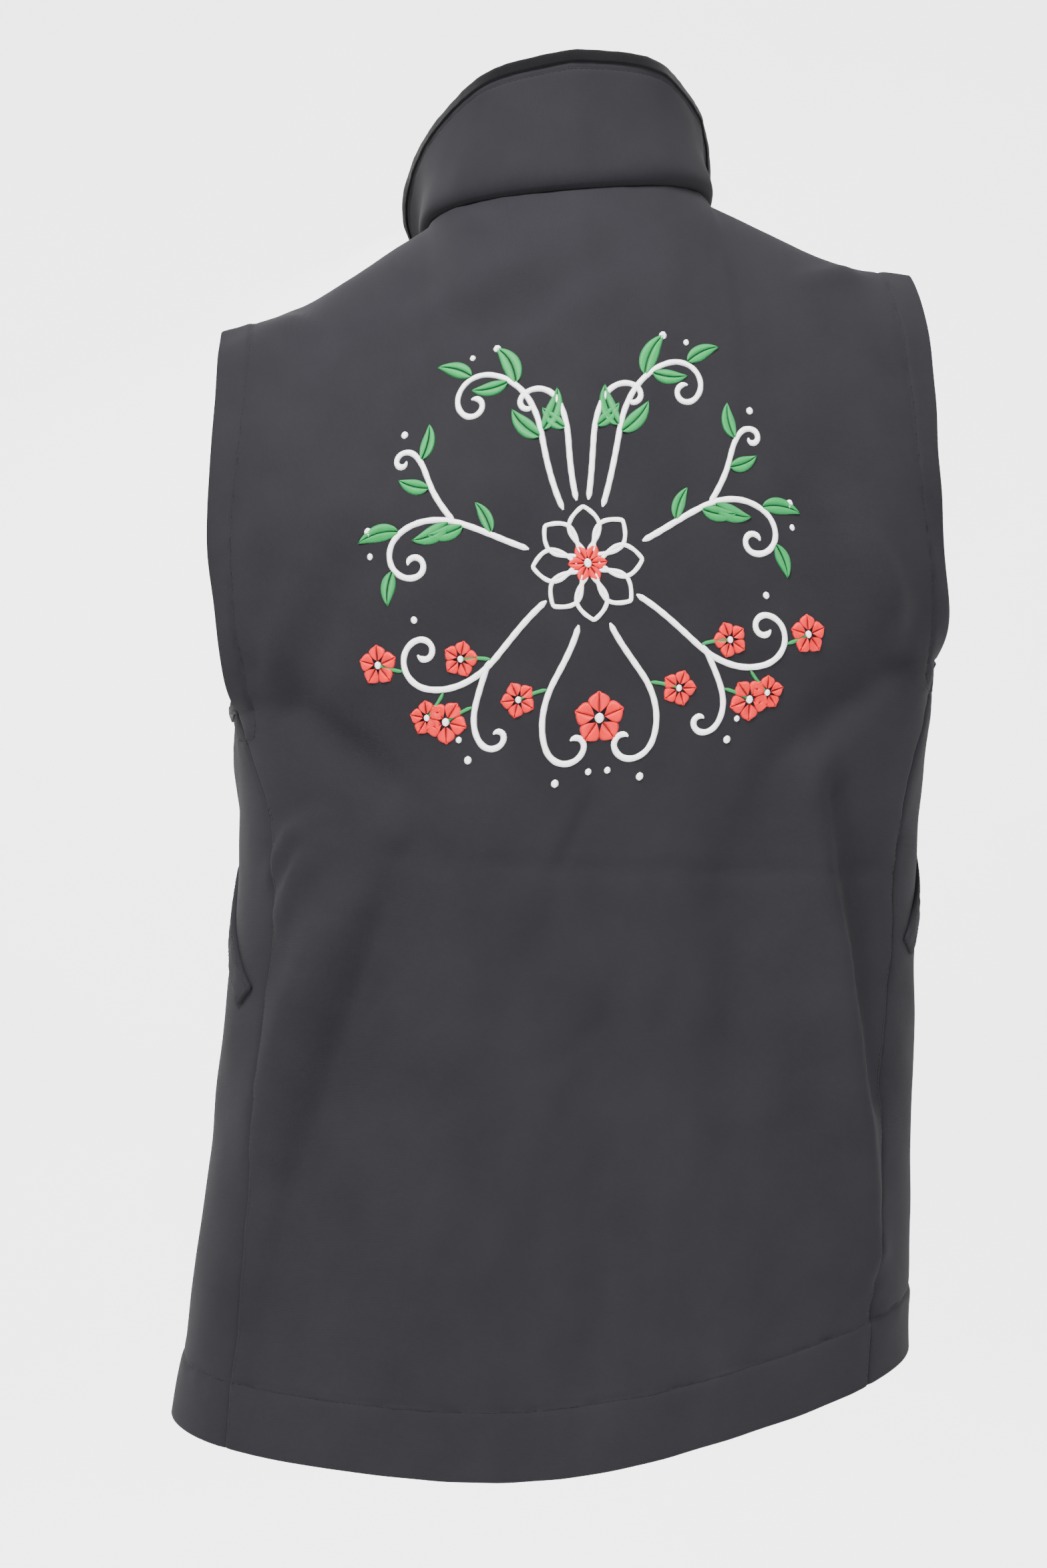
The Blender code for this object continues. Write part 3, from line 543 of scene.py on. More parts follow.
def onPanel(piece, u, w):
    # a place on a panel as made, and the way out there
    grid = panels[piece]
    base, out = [readGrid(grid[part], grid["rows"], grid["columns"], u, w)
                 for part in ("outer", "out")]
    return base, unit(out)


def linearColour(code):
    parts = [int(code[i:i + 2], 16) / 255 for i in (1, 3, 5)]
    return tuple(p / 12.92 if p <= 0.04045 else ((p + 0.055) / 1.055) ** 2.4 for p in parts) + (1.0,)


def addNode(tree, kind, settings=None, feeds=None, stops=()):
    # a feed is a value or a pair of node and outlet; stops are a colour ramp's shares and colours
    node = tree.nodes.new(kind)
    for name, value in (settings or {}).items():
        setattr(node, name, value)
    for name, value in (feeds or {}).items():
        socket = node.inputs[name]
        if isinstance(value, tuple) and hasattr(value[0], "outputs"):
            tree.links.new(value[0].outputs[value[1]], socket)
        else:
            socket.default_value = value
    for k, (at, colour) in enumerate(stops):
        mark = node.color_ramp.elements[k]
        mark.position, mark.color = at, linearColour(colour)
    return node


def newMaterial(name, slots):
    # a Principled material with constants set on its own sockets
    made = bpy.data.materials.new(name)
    made.use_nodes = True
    tree = made.node_tree
    shader = tree.nodes["Principled BSDF"]
    for socket, value in slots.items():
        shader.inputs[socket].default_value = value
    return made, tree, shader


wavePerPitch = 0.314  # scale of a wave texture that draws one wave in one millimetre


def clothMaterial(name, dark, light, pitch, bumpDepth, roughness, sheen, nap):
    # a fine knit: courses and wales at the pitch, over slow changes of shade
    made, tree, shader = newMaterial(name, {
        "Roughness": roughness, "Sheen Weight": sheen, "Sheen Roughness": 0.45,
        "Specular IOR Level": 0.25, "IOR": 1.18})
    place = addNode(tree, "ShaderNodeUVMap", {"uv_map": "cloth"})
    inMm = addNode(tree, "ShaderNodeMapping", None,
                   {"Vector": (place, "UV"), "Scale": (1000, 1000, 1000)})
    slow = addNode(tree, "ShaderNodeTexNoise", None,
                   {"Vector": (inMm, "Vector"), "Scale": 0.016, "Detail": 3.0, "Roughness": 0.6})
    fine = addNode(tree, "ShaderNodeTexNoise", None,
                   {"Vector": (inMm, "Vector"), "Scale": 0.55, "Detail": 2.0, "Roughness": 0.7})
    mixed = addNode(tree, "ShaderNodeMath", {"operation": "MULTIPLY_ADD"},
                    {0: (fine, "Fac"), 1: 0.35, 2: (slow, "Fac")})
    shade = addNode(tree, "ShaderNodeValToRGB", None, {"Fac": (mixed, "Value")},
                    [(0.42, dark), (0.92, light)])
    tree.links.new(shade.outputs["Color"], shader.inputs["Base Color"])
    wales = addNode(tree, "ShaderNodeTexWave", {"bands_direction": "X"},
                    {"Vector": (inMm, "Vector"), "Scale": wavePerPitch / pitch, "Distortion": 0.6,
                     "Detail": 0.0})
    courses = addNode(tree, "ShaderNodeTexWave", {"bands_direction": "Y"},
                      {"Vector": (inMm, "Vector"), "Scale": wavePerPitch / pitch, "Distortion": 0.6,
                       "Detail": 0.0})
    weave = addNode(tree, "ShaderNodeMath", {"operation": "MULTIPLY"},
                    {0: (wales, "Fac"), 1: (courses, "Fac")})
    height = addNode(tree, "ShaderNodeMath", {"operation": "MULTIPLY_ADD"},
                     {0: (fine, "Fac"), 1: nap, 2: (weave, "Value")})
    bump = addNode(tree, "ShaderNodeBump", None,
                   {"Height": (height, "Value"), "Strength": 0.55, "Distance": bumpDepth})
    tree.links.new(bump.outputs["Normal"], shader.inputs["Normal"])
    return made


# Bonded polyester softshell: a close matt knit, charcoal black, with a faint bloom at its edges
softshell = clothMaterial("bonded softshell knit", "#1E1D20", "#222124", 0.62, 0.00010, 0.95,
                          0.01, 0.6)
# Brushed inner side: deeper black and rougher, so folds inside read soft
fleece = clothMaterial("brushed inner knit", "#0C0C0D", "#121214", 0.9, 0.00022, 0.95, 0.08, 1.6)
# Woven polyester zip tape: a flat black herringbone
zipTapeCloth = clothMaterial("woven zip tape", "#0E0E0F", "#141416", 0.45, 0.00008, 0.9, 0.05,
                             0.4)


def hardMaterial(name, dark, light, roughness, metallic, coat, grain):
    # grain is the size of its mottling in millimetres
    made, tree, shader = newMaterial(name, {
        "Metallic": metallic, "Coat Weight": coat, "Coat Roughness": 0.18,
        "Specular IOR Level": 0.5 if metallic else 0.22})
    place = addNode(tree, "ShaderNodeTexCoord")
    noise = addNode(tree, "ShaderNodeTexNoise", None,
                    {"Vector": (place, "Object"), "Scale": 1000 / grain, "Detail": 4.0})
    shade = addNode(tree, "ShaderNodeValToRGB", None, {"Fac": (noise, "Fac")},
                    [(0.35, dark), (0.7, light)])
    tree.links.new(shade.outputs["Color"], shader.inputs["Base Color"])
    rough = addNode(tree, "ShaderNodeMapRange", None,
                    {"Value": (noise, "Fac"), "To Min": roughness - 0.07,
                     "To Max": roughness + 0.09})
    tree.links.new(rough.outputs["Result"], shader.inputs["Roughness"])
    bump = addNode(tree, "ShaderNodeBump", None,
                   {"Height": (noise, "Fac"), "Strength": 0.25, "Distance": 0.00004})
    tree.links.new(bump.outputs["Normal"], shader.inputs["Normal"])
    return made


# Moulded acetal teeth: satin black with a fine mould texture
mouldedTeeth = hardMaterial("moulded black teeth", "#0B0B0C", "#111112", 0.52, 0.0, 0.0, 0.9)
# Black lacquer on die-cast zinc: glossy, with paler mottling at random
lacqueredZinc = hardMaterial("black lacquered zinc", "#0D0D0E", "#18181A", 0.34, 0.6, 0.3, 2.2)


def threadMaterial(name, dark, light, roughness, sheen, pitch):
    # satin thread: strands run across each stitch, so light breaks in fine lines; the colour is also
    # painted lighter and darker with each strand as a painted sheen, over random blotches of tone
    made, tree, shader = newMaterial(name, {
        "Roughness": roughness, "Sheen Weight": sheen, "Sheen Roughness": 0.35,
        "Specular IOR Level": 0.30})
    place = addNode(tree, "ShaderNodeUVMap", {"uv_map": "thread"})
    inMm = addNode(tree, "ShaderNodeMapping", None,
                   {"Vector": (place, "UV"), "Scale": (1000, 1000, 1000)})
    strandsAndPaintedSheen = addNode(tree, "ShaderNodeTexWave", {"bands_direction": "X"},
                      {"Vector": (inMm, "Vector"), "Scale": wavePerPitch / pitch, "Distortion": 1.5,
                       "Detail": 2.0, "Detail Scale": 1.5})
    blotch = addNode(tree, "ShaderNodeTexNoise", None,
                     {"Vector": (inMm, "Vector"), "Scale": 0.25, "Detail": 2.0})
    # painted sheen: the strand lines shade the colour light and dark, and blotches vary its tone at
    # random
    mixed = addNode(tree, "ShaderNodeMath", {"operation": "MULTIPLY_ADD"},
                    {0: (blotch, "Fac"), 1: 0.5, 2: (strandsAndPaintedSheen, "Fac")})
    shade = addNode(tree, "ShaderNodeValToRGB", None, {"Fac": (mixed, "Value")},
                    [(0.15, dark), (0.95, light)])
    tree.links.new(shade.outputs["Color"], shader.inputs["Base Color"])
    bump = addNode(tree, "ShaderNodeBump", None,
                   {"Height": (strandsAndPaintedSheen, "Fac"), "Strength": 0.6, "Distance": 0.00012})
    tree.links.new(bump.outputs["Normal"], shader.inputs["Normal"])
    return made


# Rayon embroidery thread in three dyes, and the duller polyester that holds the seams
whiteThread = threadMaterial("white rayon thread", "#DADADC", "#FBFBFA", 0.42, 0.3, 0.42)
greenThread = threadMaterial("green rayon thread", "#05602A", "#0C8440", 0.50, 0.05, 0.42)
redThread = threadMaterial("red rayon thread", "#A80508", "#DA0C10", 0.50, 0.05, 0.42)
sewingThread = hardMaterial("black polyester sewing thread", "#101011", "#171719", 0.8, 0.0, 0.0,
                            0.5)
print("materials made")


def linkNew(name, data):
    made = bpy.data.objects.new(name, data)
    bpy.context.scene.collection.objects.link(made)
    return made


def newObject(name, mesh, *materials):
    for material in materials:
        mesh.materials.append(material)
    mesh.polygons.foreach_set("use_smooth", [True] * len(mesh.polygons))
    return linkNew(name, mesh)


def giveUv(mesh, name, places):
    # one place for each vertex, in metres over the flat cloth
    layer = mesh.uv_layers.new(name=name)
    loops = np.empty(len(mesh.loops), dtype=np.int32)
    mesh.loops.foreach_get("vertex_index", loops)
    layer.data.foreach_set("uv", np.asarray(places, dtype=np.float32)[loops].ravel())


def clothWall(name, outer, out, wall, flat, materials, softEdges=(1, 1, 1, 1), flip=False):
    # a closed wall of cloth between a grid and the same grid moved in, with rounded rims where
    # an edge is free. softEdges: first row, last column, last row, first column
    rows, columns = outer.shape[:2]
    wall = np.broadcast_to(wall, (rows, columns))
    inner = outer - out * wall[..., None]
    size = rows * columns
    points = [outer.reshape(-1, 3), inner.reshape(-1, 3)]
    places = [flat.reshape(-1, 2), flat.reshape(-1, 2)]
    a = (np.arange(rows - 1)[:, None] * columns + np.arange(columns - 1)[None, :]).ravel()
    front = np.stack([a, a + 1, a + columns + 1, a + columns], axis=1)
    back = front[:, ::-1] + size
    faces = [front, back]
    grid = np.arange(size).reshape(rows, columns)
    rim = np.concatenate([grid[0, :-1], grid[:-1, -1], grid[-1, :0:-1], grid[:0:-1, 0]])
    away = np.zeros((rows, columns, 3))
    for end, beside, atRow, atColumn in ((0, 1, 0, 3), (-1, -2, 2, 1)):
        away[end] += unit(outer[end] - outer[beside]) * softEdges[atRow]
        away[:, end] += unit(outer[:, end] - outer[:, beside]) * softEdges[atColumn]
    away = away.reshape(-1, 3)
    flatOuter, flatOut = outer.reshape(-1, 3), out.reshape(-1, 3)
    flatWall = wall.reshape(-1)
    lines = [rim]
    for angle in (45, 90, 135):
        c, s = wayAt(angle)
        half = flatWall[rim][:, None] / 2
        ring = flatOuter[rim] - flatOut[rim] * half * (1 - c) + away[rim] * half * s * 0.9
        lines.append(np.arange(len(rim)) + sum(len(p) for p in points))
        points.append(ring)
        places.append(flat.reshape(-1, 2)[rim])
    lines.append(rim + size)
    for first, second in zip(lines, lines[1:]):
        faces.append(np.stack([first, second, np.roll(second, -1), np.roll(first, -1)], axis=1))
    faces = np.concatenate(faces)
    if flip:
        faces = faces[:, ::-1]
    mesh = bpy.data.meshes.new(name)
    mesh.from_pydata(np.concatenate(points).tolist(), [], faces.tolist())
    giveUv(mesh, "cloth", np.concatenate(places))
    made = newObject(name, mesh, *materials)
    inside = np.zeros(len(faces), dtype=np.int32)
    inside[len(front):2 * len(front)] = len(materials) - 1
    mesh.polygons.foreach_set("material_index", inside)
    return made


panels = {}
for piece, node in (("back", "back_panel"), ("left", "front_left"), ("right", "front_right")):
    columns, rows = panelShares(piece)
    outer, out, wall = clothAt(piece, columns[None, :], rows[:, None])
    _, z = bare(piece, *pair(columns[None, :], rows[:, None]))
    flat = np.stack([girth(piece, columns)[None, :] + 0 * z, z], axis=-1)
    name = {"back": "backCloth", "left": "frontLeftCloth", "right": "frontRightCloth"}[piece]
    made = clothWall(name, outer, out, wall, flat, (softshell, fleece),
                     softEdges=(1, 1, 0, 1), flip=piece != "left")
    panels[piece] = {"object": made, "outer": outer, "out": out, "rows": rows,
                     "columns": columns, "wall": wall}
    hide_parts(node)
    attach(made, "vest")
    print(name, len(made.data.polygons), "faces")

collarMake = {
    "roll": 0.0045,  # how far the collar bulges above its seam
    "rollAt": 0.14,
    "rolledEdge": 0.94,  # share of the height to which the facing rolls over
    "facing": 0.001,
    "stitchAt": 0.885,
    "reach": 0.25,  # half the neck line, and the height, in metres
    "tall": 0.085,
    "allowance": ((0.0062, 0.0030), (0.0030, 0.0030), (0.0012, 0.0026)),  # down, and inward
    "frontGap": 0.0078,  # from the facing's ends to the collar's
    "baseDip": (0.0004, 0.0012),  # depth and reach of the dip at the neck seam and at the row
    "rowDip": (0.0004, 0.0011),
    "uneven": (0.0003, (47, 18, 0.11, 0.03)),  # height, then seed, count, longest and shortest
    "ripple": (0.0002, (53, 14, 0.03, 0.009)),
    "facingUneven": (0.00015, (61, 16, 0.03, 0.008)),
}


def collarForm(s, h):
    # s from the right front end (-1) round the back to the left one (1), h from seam to top
    s, h = pair(s, h)
    at = np.abs(s)
    base, top = place("neck", at), place("neck", at, 4)
    run = place("neck", np.minimum(at + 0.01, 1)) - place("neck", np.maximum(at - 0.01, 0))
    out = unit(np.stack([-run[..., 1], run[..., 0], 0 * at], axis=-1))
    lift = h / collarMake["rollAt"]
    roll = collarMake["roll"] * lift * np.exp(1 - lift) * ease((1 - at) / 0.2)
    points = base + (top - base) * h[..., None] + out * roll[..., None]
    points[..., 2] += vestForm["seamGap"] * (1 - h)
    points[..., 0] *= np.where(s < 0, -1.0, 1.0)
    return worn(points)


def collarAt(s, h):
    s, h = pair(s, h)
    step = 0.01
    roundNeck = collarForm(np.minimum(s + step, 1), h) - collarForm(np.maximum(s - step, -1), h)
    up = collarForm(s, np.minimum(h + step, 1)) - collarForm(s, np.maximum(h - step, 0))
    out = unit(np.cross(up, roundNeck))
    make = collarMake
    g, z = s * make["reach"], h * 0.08
    fromRow = (h - make["stitchAt"]) * make["tall"]
    (uneven, slow), (ripple, quick) = make["uneven"], make["ripple"]
    rise = uneven * waves(g, z, *slow) * ease(h / 0.2)
    rise = rise - make["rowDip"][0] * furrow(fromRow, make["rowDip"][1])
    rise = rise + ripple * waves(g, z, *quick) * furrow(fromRow, 0.006)
    rise = rise - make["baseDip"][0] * np.exp(-h * make["tall"] / make["baseDip"][1])
    return collarForm(s, h) + out * rise[..., None], out, unit(up)


reach, tall = collarMake["reach"], collarMake["tall"]
collarS = spread((-1.0, 1.0), 0.004 / reach, [(1.0, -edgeSteps / reach), (-1.0, edgeSteps / reach)])
collarH = spread((0.0, 1.0), 0.0036 / tall, [
    (0.0, edgeSteps / tall), (collarMake["stitchAt"], stitchSteps[1:-1] / tall)])
outer, out, _ = collarAt(collarS[None, :], collarH[:, None])
panels["collar"] = {"outer": outer, "out": out, "rows": collarH, "columns": collarS}
# seam allowance of the collar: a few millimetres turned down inside the neck seam
downward = unit(outer[0] - outer[6])
allowance = [outer[0] + downward * drop - out[0] * inset for drop, inset in collarMake["allowance"]]
outer = np.concatenate([allowance, outer])
out = np.concatenate([np.repeat(out[:1], 3, axis=0), out])
flat = np.stack(pair(collarS[None, :] * reach,
                     np.concatenate([[-0.075, -0.045, -0.025], collarH])[:, None] * tall), axis=-1)
collarCloth = clothWall("collarCloth", outer, out, clothMake["wall"], flat, (softshell,),
                        softEdges=(1, 1, 0, 1), flip=True)
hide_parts("collar")
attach(collarCloth, "vest")

# The layer inside the collar rolls over its top edge and shows as a dark line from outside
facingS = collarS[np.abs(collarS) < 1 - collarMake["frontGap"] / reach]
wall, gap = clothMake["wall"], vestForm["seamGap"]
outer, out, up = collarAt(facingS[None, :], collarH[:, None])
inside = outer - out * (wall + gap)
middle = outer[-1] - out[-1] * wall / 2
rollRadius = wall / 2 + gap
overOut = [up[-1] * math.cos(angle) + out[-1] * math.sin(angle)
           for angle in np.linspace(-1.35, 1.35, 7)]
over = [middle + rollRadius * way for way in overOut]
downH = np.linspace(1.0, collarMake["rolledEdge"], 5)[1:, None]
edge, edgeOut, _ = collarAt(facingS[None, :], downH)
facing = np.concatenate([inside, over, edge + edgeOut * gap])
facingOut = np.concatenate([-out, overOut, edgeOut])
count = np.arange(len(facing))[:, None]
uneven, slow = collarMake["facingUneven"]
rise = uneven * waves(facingS * reach, count * 0.002, *slow)
facing = facing + facingOut * (collarMake["facing"] + np.maximum(rise, -0.0001))[..., None]
flat = np.stack(pair(facingS[None, :] * reach, count * 0.003), axis=-1)
collarFacing = clothWall("collarFacing", facing, facingOut, collarMake["facing"], flat, (fleece,),
                         softEdges=(0, 0, 1, 0))
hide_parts("collar_facing")
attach(collarFacing, "vest")
print("collar made")

# Front zip: tapes behind both edges, moulded teeth, and the carried parts with softened edges
zipMake = {
    "tapeUnder": 0.006,  # how far the tape reaches under the cloth, and into the opening
    "tapeOver": 0.005,
    "tape": 0.0008,
    "toothNear": 0.0029,  # from the cloth's edge to the teeth
    "toothWide": 0.00265,
    "toothDeep": 0.0025,
    "toothLong": 0.0024,
    "toothPitch": 0.003,
    "softEdge": 0.00035,  # rounding of the slider, pull and box
}


def evenLine(points, ways, step):
    # points and the ways that go with them, read again at even steps along the line
    run = runAlong(points)
    at = np.linspace(0, run[-1], max(2, int(round(run[-1] / step)) + 1))
    read = [np.stack([np.interp(at, run, part[:, k]) for k in range(3)], axis=1)
            for part in [points] + list(ways)]
    return read[0], [unit(way) for way in read[1:]], at


def frontEdge(side):
    # outer edge of a front and its collar end, with the ways out and into the opening
    panel, neck = panels[side], panels["collar"]
    end, beside = (-1, -5) if side == "left" else (0, 4)
    points = np.concatenate([panel["outer"][:, 0], neck["outer"][1:, end]])
    into = np.concatenate([unit(panel["outer"][:, 0] - panel["outer"][:, 4]),
                           unit(neck["outer"][1:, end] - neck["outer"][1:, beside])])
    out = np.concatenate([panel["out"][:, 0], neck["out"][1:, end]])
    depth = np.concatenate([panel["wall"][:, 0],
                            np.full(len(neck["rows"]) - 1, clothMake["wall"])])
    run = runAlong(points)
    points, (into, out), at = evenLine(points, (into, out), 0.003)
    for _ in range(4):
        for way in (into, out):
            way[1:-1] = unit(way[:-2] + 2 * way[1:-1] + way[2:])
    out = unit(out - into * np.sum(out * into, axis=1, keepdims=True))
    return points, into, out, np.interp(at, run, depth)[:, None]


def lineMesh(name, paths):
    # edges through the points of each path, with the way out kept as an attribute
    points, ways, edges = [], [], []
    for line, out in paths:
        start = len(points)
        points += line.tolist()
        ways += out.tolist()
        edges += [(start + k, start + k + 1) for k in range(len(line) - 1)]
    mesh = bpy.data.meshes.new(name)
    mesh.from_pydata(points, edges, [])
    layer = mesh.attributes.new("wayOut", "FLOAT_VECTOR", "POINT")
    layer.data.foreach_set("vector", np.asarray(ways, dtype=np.float32).ravel())
    return linkNew(name, mesh)


def alongTree(name, shape, material):
    # Geometry Nodes: one shape at even steps along each line, turned to the line and the cloth
    tree = bpy.data.node_groups.new(name, "GeometryNodeTree")
    face = tree.interface
    face.new_socket(name="Geometry", in_out="INPUT", socket_type="NodeSocketGeometry")
    for label in ("Pitch", "Length", "Width", "Height"):
        face.new_socket(name=label, in_out="INPUT", socket_type="NodeSocketFloat")
    face.new_socket(name="Seed", in_out="INPUT", socket_type="NodeSocketInt")
    face.new_socket(name="Geometry", in_out="OUTPUT", socket_type="NodeSocketGeometry")
    start = addNode(tree, "NodeGroupInput")
    end = addNode(tree, "NodeGroupOutput")
    curve = addNode(tree, "GeometryNodeMeshToCurve", None, {"Mesh": (start, "Geometry")})
    even = addNode(tree, "GeometryNodeResampleCurve", {"mode": "LENGTH"},
                   {"Curve": (curve, "Curve"), "Length": (start, "Pitch")})
    wayOut = addNode(tree, "GeometryNodeInputNamedAttribute", {"data_type": "FLOAT_VECTOR"},
                     {"Name": "wayOut"})
    tangent = addNode(tree, "GeometryNodeInputTangent")
    turn = addNode(tree, "FunctionNodeAxesToRotation",
                   {"primary_axis": "X", "secondary_axis": "Z"},
                   {"Primary Axis": (tangent, "Tangent"), "Secondary Axis": (wayOut, "Attribute")})
    size = addNode(tree, "ShaderNodeCombineXYZ", None,
                   {"X": (start, "Length"), "Y": (start, "Width"), "Z": (start, "Height")})
    if shape == "thread":
        body = addNode(tree, "GeometryNodeMeshUVSphere", None,
                       {"Segments": 8, "Rings": 6, "Radius": 0.5})
        body = addNode(tree, "GeometryNodeTransform", None,
                       {"Geometry": (body, "Mesh"), "Rotation": (0, math.pi / 2, 0)})
    else:
        body = addNode(tree, "GeometryNodeMeshCube", None,
                       {"Size": (1.12, 1.12, 1.12), "Vertices X": 3, "Vertices Y": 3,
                        "Vertices Z": 3})
        body = addNode(tree, "GeometryNodeSubdivisionSurface", None,
                       {"Mesh": (body, "Mesh"), "Level": 1})
    outlet = "Geometry" if shape == "thread" else "Mesh"
    vary = addNode(tree, "FunctionNodeRandomValue", {"data_type": "FLOAT_VECTOR"},
                   {"Min": (0.93, 0.93, 0.90), "Max": (1.06, 1.05, 1.08),
                    "Seed": (start, "Seed")})
    scaled = addNode(tree, "ShaderNodeVectorMath", {"operation": "MULTIPLY"},
                     {0: (size, "Vector"), 1: (vary, "Value")})
    placed = addNode(tree, "GeometryNodeInstanceOnPoints", None,
                     {"Points": (even, "Curve"), "Instance": (body, outlet),
                      "Rotation": (turn, "Rotation"), "Scale": (scaled, "Vector")})
    real = addNode(tree, "GeometryNodeRealizeInstances", None,
                   {"Geometry": (placed, "Instances")})
    smooth = addNode(tree, "GeometryNodeSetShadeSmooth", None, {"Geometry": (real, "Geometry")})
    looks = addNode(tree, "GeometryNodeSetMaterial", None,
                    {"Geometry": (smooth, "Geometry"), "Material": material})
    tree.links.new(looks.outputs["Geometry"], end.inputs["Geometry"])
    return tree


def alongLines(name, paths, tree, sizes, material, seed=7):
    made = lineMesh(name + "Lines", paths)
    modifier = made.modifiers.new("along", "NODES")
    modifier.node_group = tree
    values = dict(sizes, Seed=seed)
    for item in tree.interface.items_tree:
        if item.item_type == "SOCKET" and item.in_out == "INPUT" and item.name in values:
            modifier[item.identifier] = values[item.name]
    bpy.context.view_layer.update()
    graph = bpy.context.evaluated_depsgraph_get()
    mesh = bpy.data.meshes.new_from_object(made.evaluated_get(graph))
    made.modifiers.clear()
    bpy.data.objects.remove(made, do_unlink=True)
    mesh.materials.clear()
    mesh.name = name
    piece = newObject(name, mesh, material)
    mesh.calc_loop_triangles()
    print(name, len(mesh.loop_triangles), "triangles")
    return piece


toothTree = alongTree("rows of moulded teeth", "tooth", mouldedTeeth)
for index, side in enumerate(("left", "right")):
    points, into, out, depth = frontEdge(side)
    front = depth + vestForm["seamGap"]
    across = np.linspace(-zipMake["tapeUnder"], zipMake["tapeOver"], 8)
    grid = points[:, None] + into[:, None] * across[None, :, None] - (out * front)[:, None]
    outs = np.repeat(out[:, None], len(across), axis=1)
    flat = np.stack(pair(across[None, :], np.arange(len(points))[:, None] * 0.003), axis=-1)
    tape = clothWall("zipTape" + side.capitalize(), grid, outs, zipMake["tape"], flat,
                     (zipTapeCloth,), softEdges=(0, 0.3, 0, 0.3), flip=side == "left")
    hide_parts("zip_tape_" + side)
    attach(tape, "vest")
    middle = (points + into * (zipMake["toothNear"] + zipMake["toothWide"] / 2)
              - out * (front + zipMake["tape"] / 2))
    line, (lineOut,), _ = evenLine(middle, (out,), 0.0015)
    teeth = alongLines("zipTeeth" + side.capitalize(),
                       [(line[2 + index:], lineOut[2 + index:])], toothTree,
                       {"Pitch": zipMake["toothPitch"], "Length": zipMake["toothLong"],
                        "Width": zipMake["toothWide"], "Height": zipMake["toothDeep"]},
                       mouldedTeeth, seed=3 + index)
    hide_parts("zip_teeth_" + side)
    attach(teeth, "vest")


def softenHard(node, material):
    solid = bpy.data.objects[node]
    solid.data.materials.clear()
    solid.data.materials.append(material)
    weld = solid.modifiers.new("weld", "WELD")
    weld.merge_threshold = 0.00001
    bevel = solid.modifiers.new("rounded edges", "BEVEL")
    bevel.width = zipMake["softEdge"]
    bevel.segments = 3
    bevel.limit_method = "ANGLE"
    bevel.angle_limit = math.radians(35)


for node, material in (("zip_slider", lacqueredZinc), ("zip_pull", lacqueredZinc),
                       ("zip_box", mouldedTeeth)):
    softenHard(node, material)
print("zip made")

# Pocket welts: a folded strip over each pocket mouth, with a dark mouth line below it
weltMake = {
    "low": (0.95, -0.442),  # ends of the mouth: share of the front's width, height
    "high": (0.6, -0.335),
    "width": 0.013,
    "cloth": 0.0016,
    "clear": 0.0008,  # from the front's cloth to the welt's underside
    "sunk": 0.0004,  # how far the welt's wall reaches into the front's cloth
    "arch": 0.0007,
    "row": 0.78,  # share of the half width at which a stitch row lies
    "rowDip": 0.0003,
    "uneven": (0.00016, (71, 14, 0.03, 0.006)),
    "steps": 56,
}


def weltLine(side, share, over):
    # a place on a pocket strip: share along it, over across it (-1 to 1)
    low, high = np.array(weltMake["low"]), np.array(weltMake["high"])
    way = (high - low) * np.array([-vestForm["frontGirth"], 1])
    cross = np.array([way[1], -way[0]]) / np.linalg.norm(way) * weltMake["width"] / 2
    u = low[0] + (high[0] - low[0]) * share + over * cross[0] / -vestForm["frontGirth"]
    z = low[1] + (high[1] - low[1]) * share + over * cross[1]
    hem = hemHeight(panelAngle("front", u, np.full(u.shape, vestForm["hemSide"])))
    return onPanel(side, u, (z - hem) / (vestForm["armpit"] - hem))


weltRows = {}
weltTop = weltMake["clear"] + weltMake["cloth"]
for side in ("left", "right"):
    share = np.linspace(0, 1, weltMake["steps"] + 1)[:, None]
    over = np.linspace(-1, 1, 11)[None, :]
    base, out = weltLine(side, share, over)
    arch = (weltMake["arch"] * np.sqrt(1 - over**2)
            * np.sqrt(np.clip(np.sin(np.pi * share) * 4, 0, 1)))
    dip = weltMake["rowDip"] * furrow((np.abs(over) - weltMake["row"]) * 0.0065, 0.0007)
    uneven, quick = weltMake["uneven"]
    rough = uneven * waves(share * 0.15, over * 0.0065, *quick)
    strip = base + out * (weltTop + arch - dip + rough)[..., None]
    flat = np.stack(pair(over * weltMake["width"] / 2, share * 0.146), axis=-1)
    welt = clothWall("pocketWelt" + side.capitalize() + "Cloth", strip, out,
                     weltTop + weltMake["sunk"] + arch, flat, (softshell,),
                     softEdges=(1, 0.6, 1, 0.6), flip=side == "left")
    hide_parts("pocket_welt_" + side)
    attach(welt, "vest")
    weltRows[side] = []
    for across in (-weltMake["row"], weltMake["row"]):
        base, out = weltLine(side, np.linspace(0.02, 0.98, 60), np.full(60, across))
        high = weltTop + weltMake["arch"] * math.sqrt(1 - across**2) - 0.0002
        weltRows[side].append((base + out * high, out))
print("pocket welts made")

# Stitches: one capsule of thread each, along the rows that hold hem, armholes, seams and collar
sewing = {
    "Pitch": 0.0032,
    "Length": 0.0026,
    "Width": 0.0005,
    "Height": 0.0004,
    "sideRow": 0.0022,  # from the side seam to the row beside it
    "frontRow": 0.006,  # from an edge of a front or of the collar to its row
    "tacks": {"left": -0.344, "right": -0.378},  # height of each bar tack on the back
    "tackRows": 5,
}


def onCloth(piece, u, w):
    # where a thread lies, a little above the cloth
    base, out = onPanel(piece, *pair(u, w))
    return base + out * 0.00006, out


def armRow(piece, side):
    # round the underarm from the side seam, then up the armhole
    band, drop, width = clothMake["armBand"], vestForm["drop"], vestForm["armWidth"]
    turn = np.linspace(0.03, 1, 24) * math.pi / 2
    u = np.concatenate([1 - band * np.sin(turn) / width, np.full(120, 1 - band / width)])
    w = np.concatenate([1 - band * np.cos(turn) / drop, np.linspace(1.01, 1.985, 120)])
    return onCloth(piece, u * side, w)


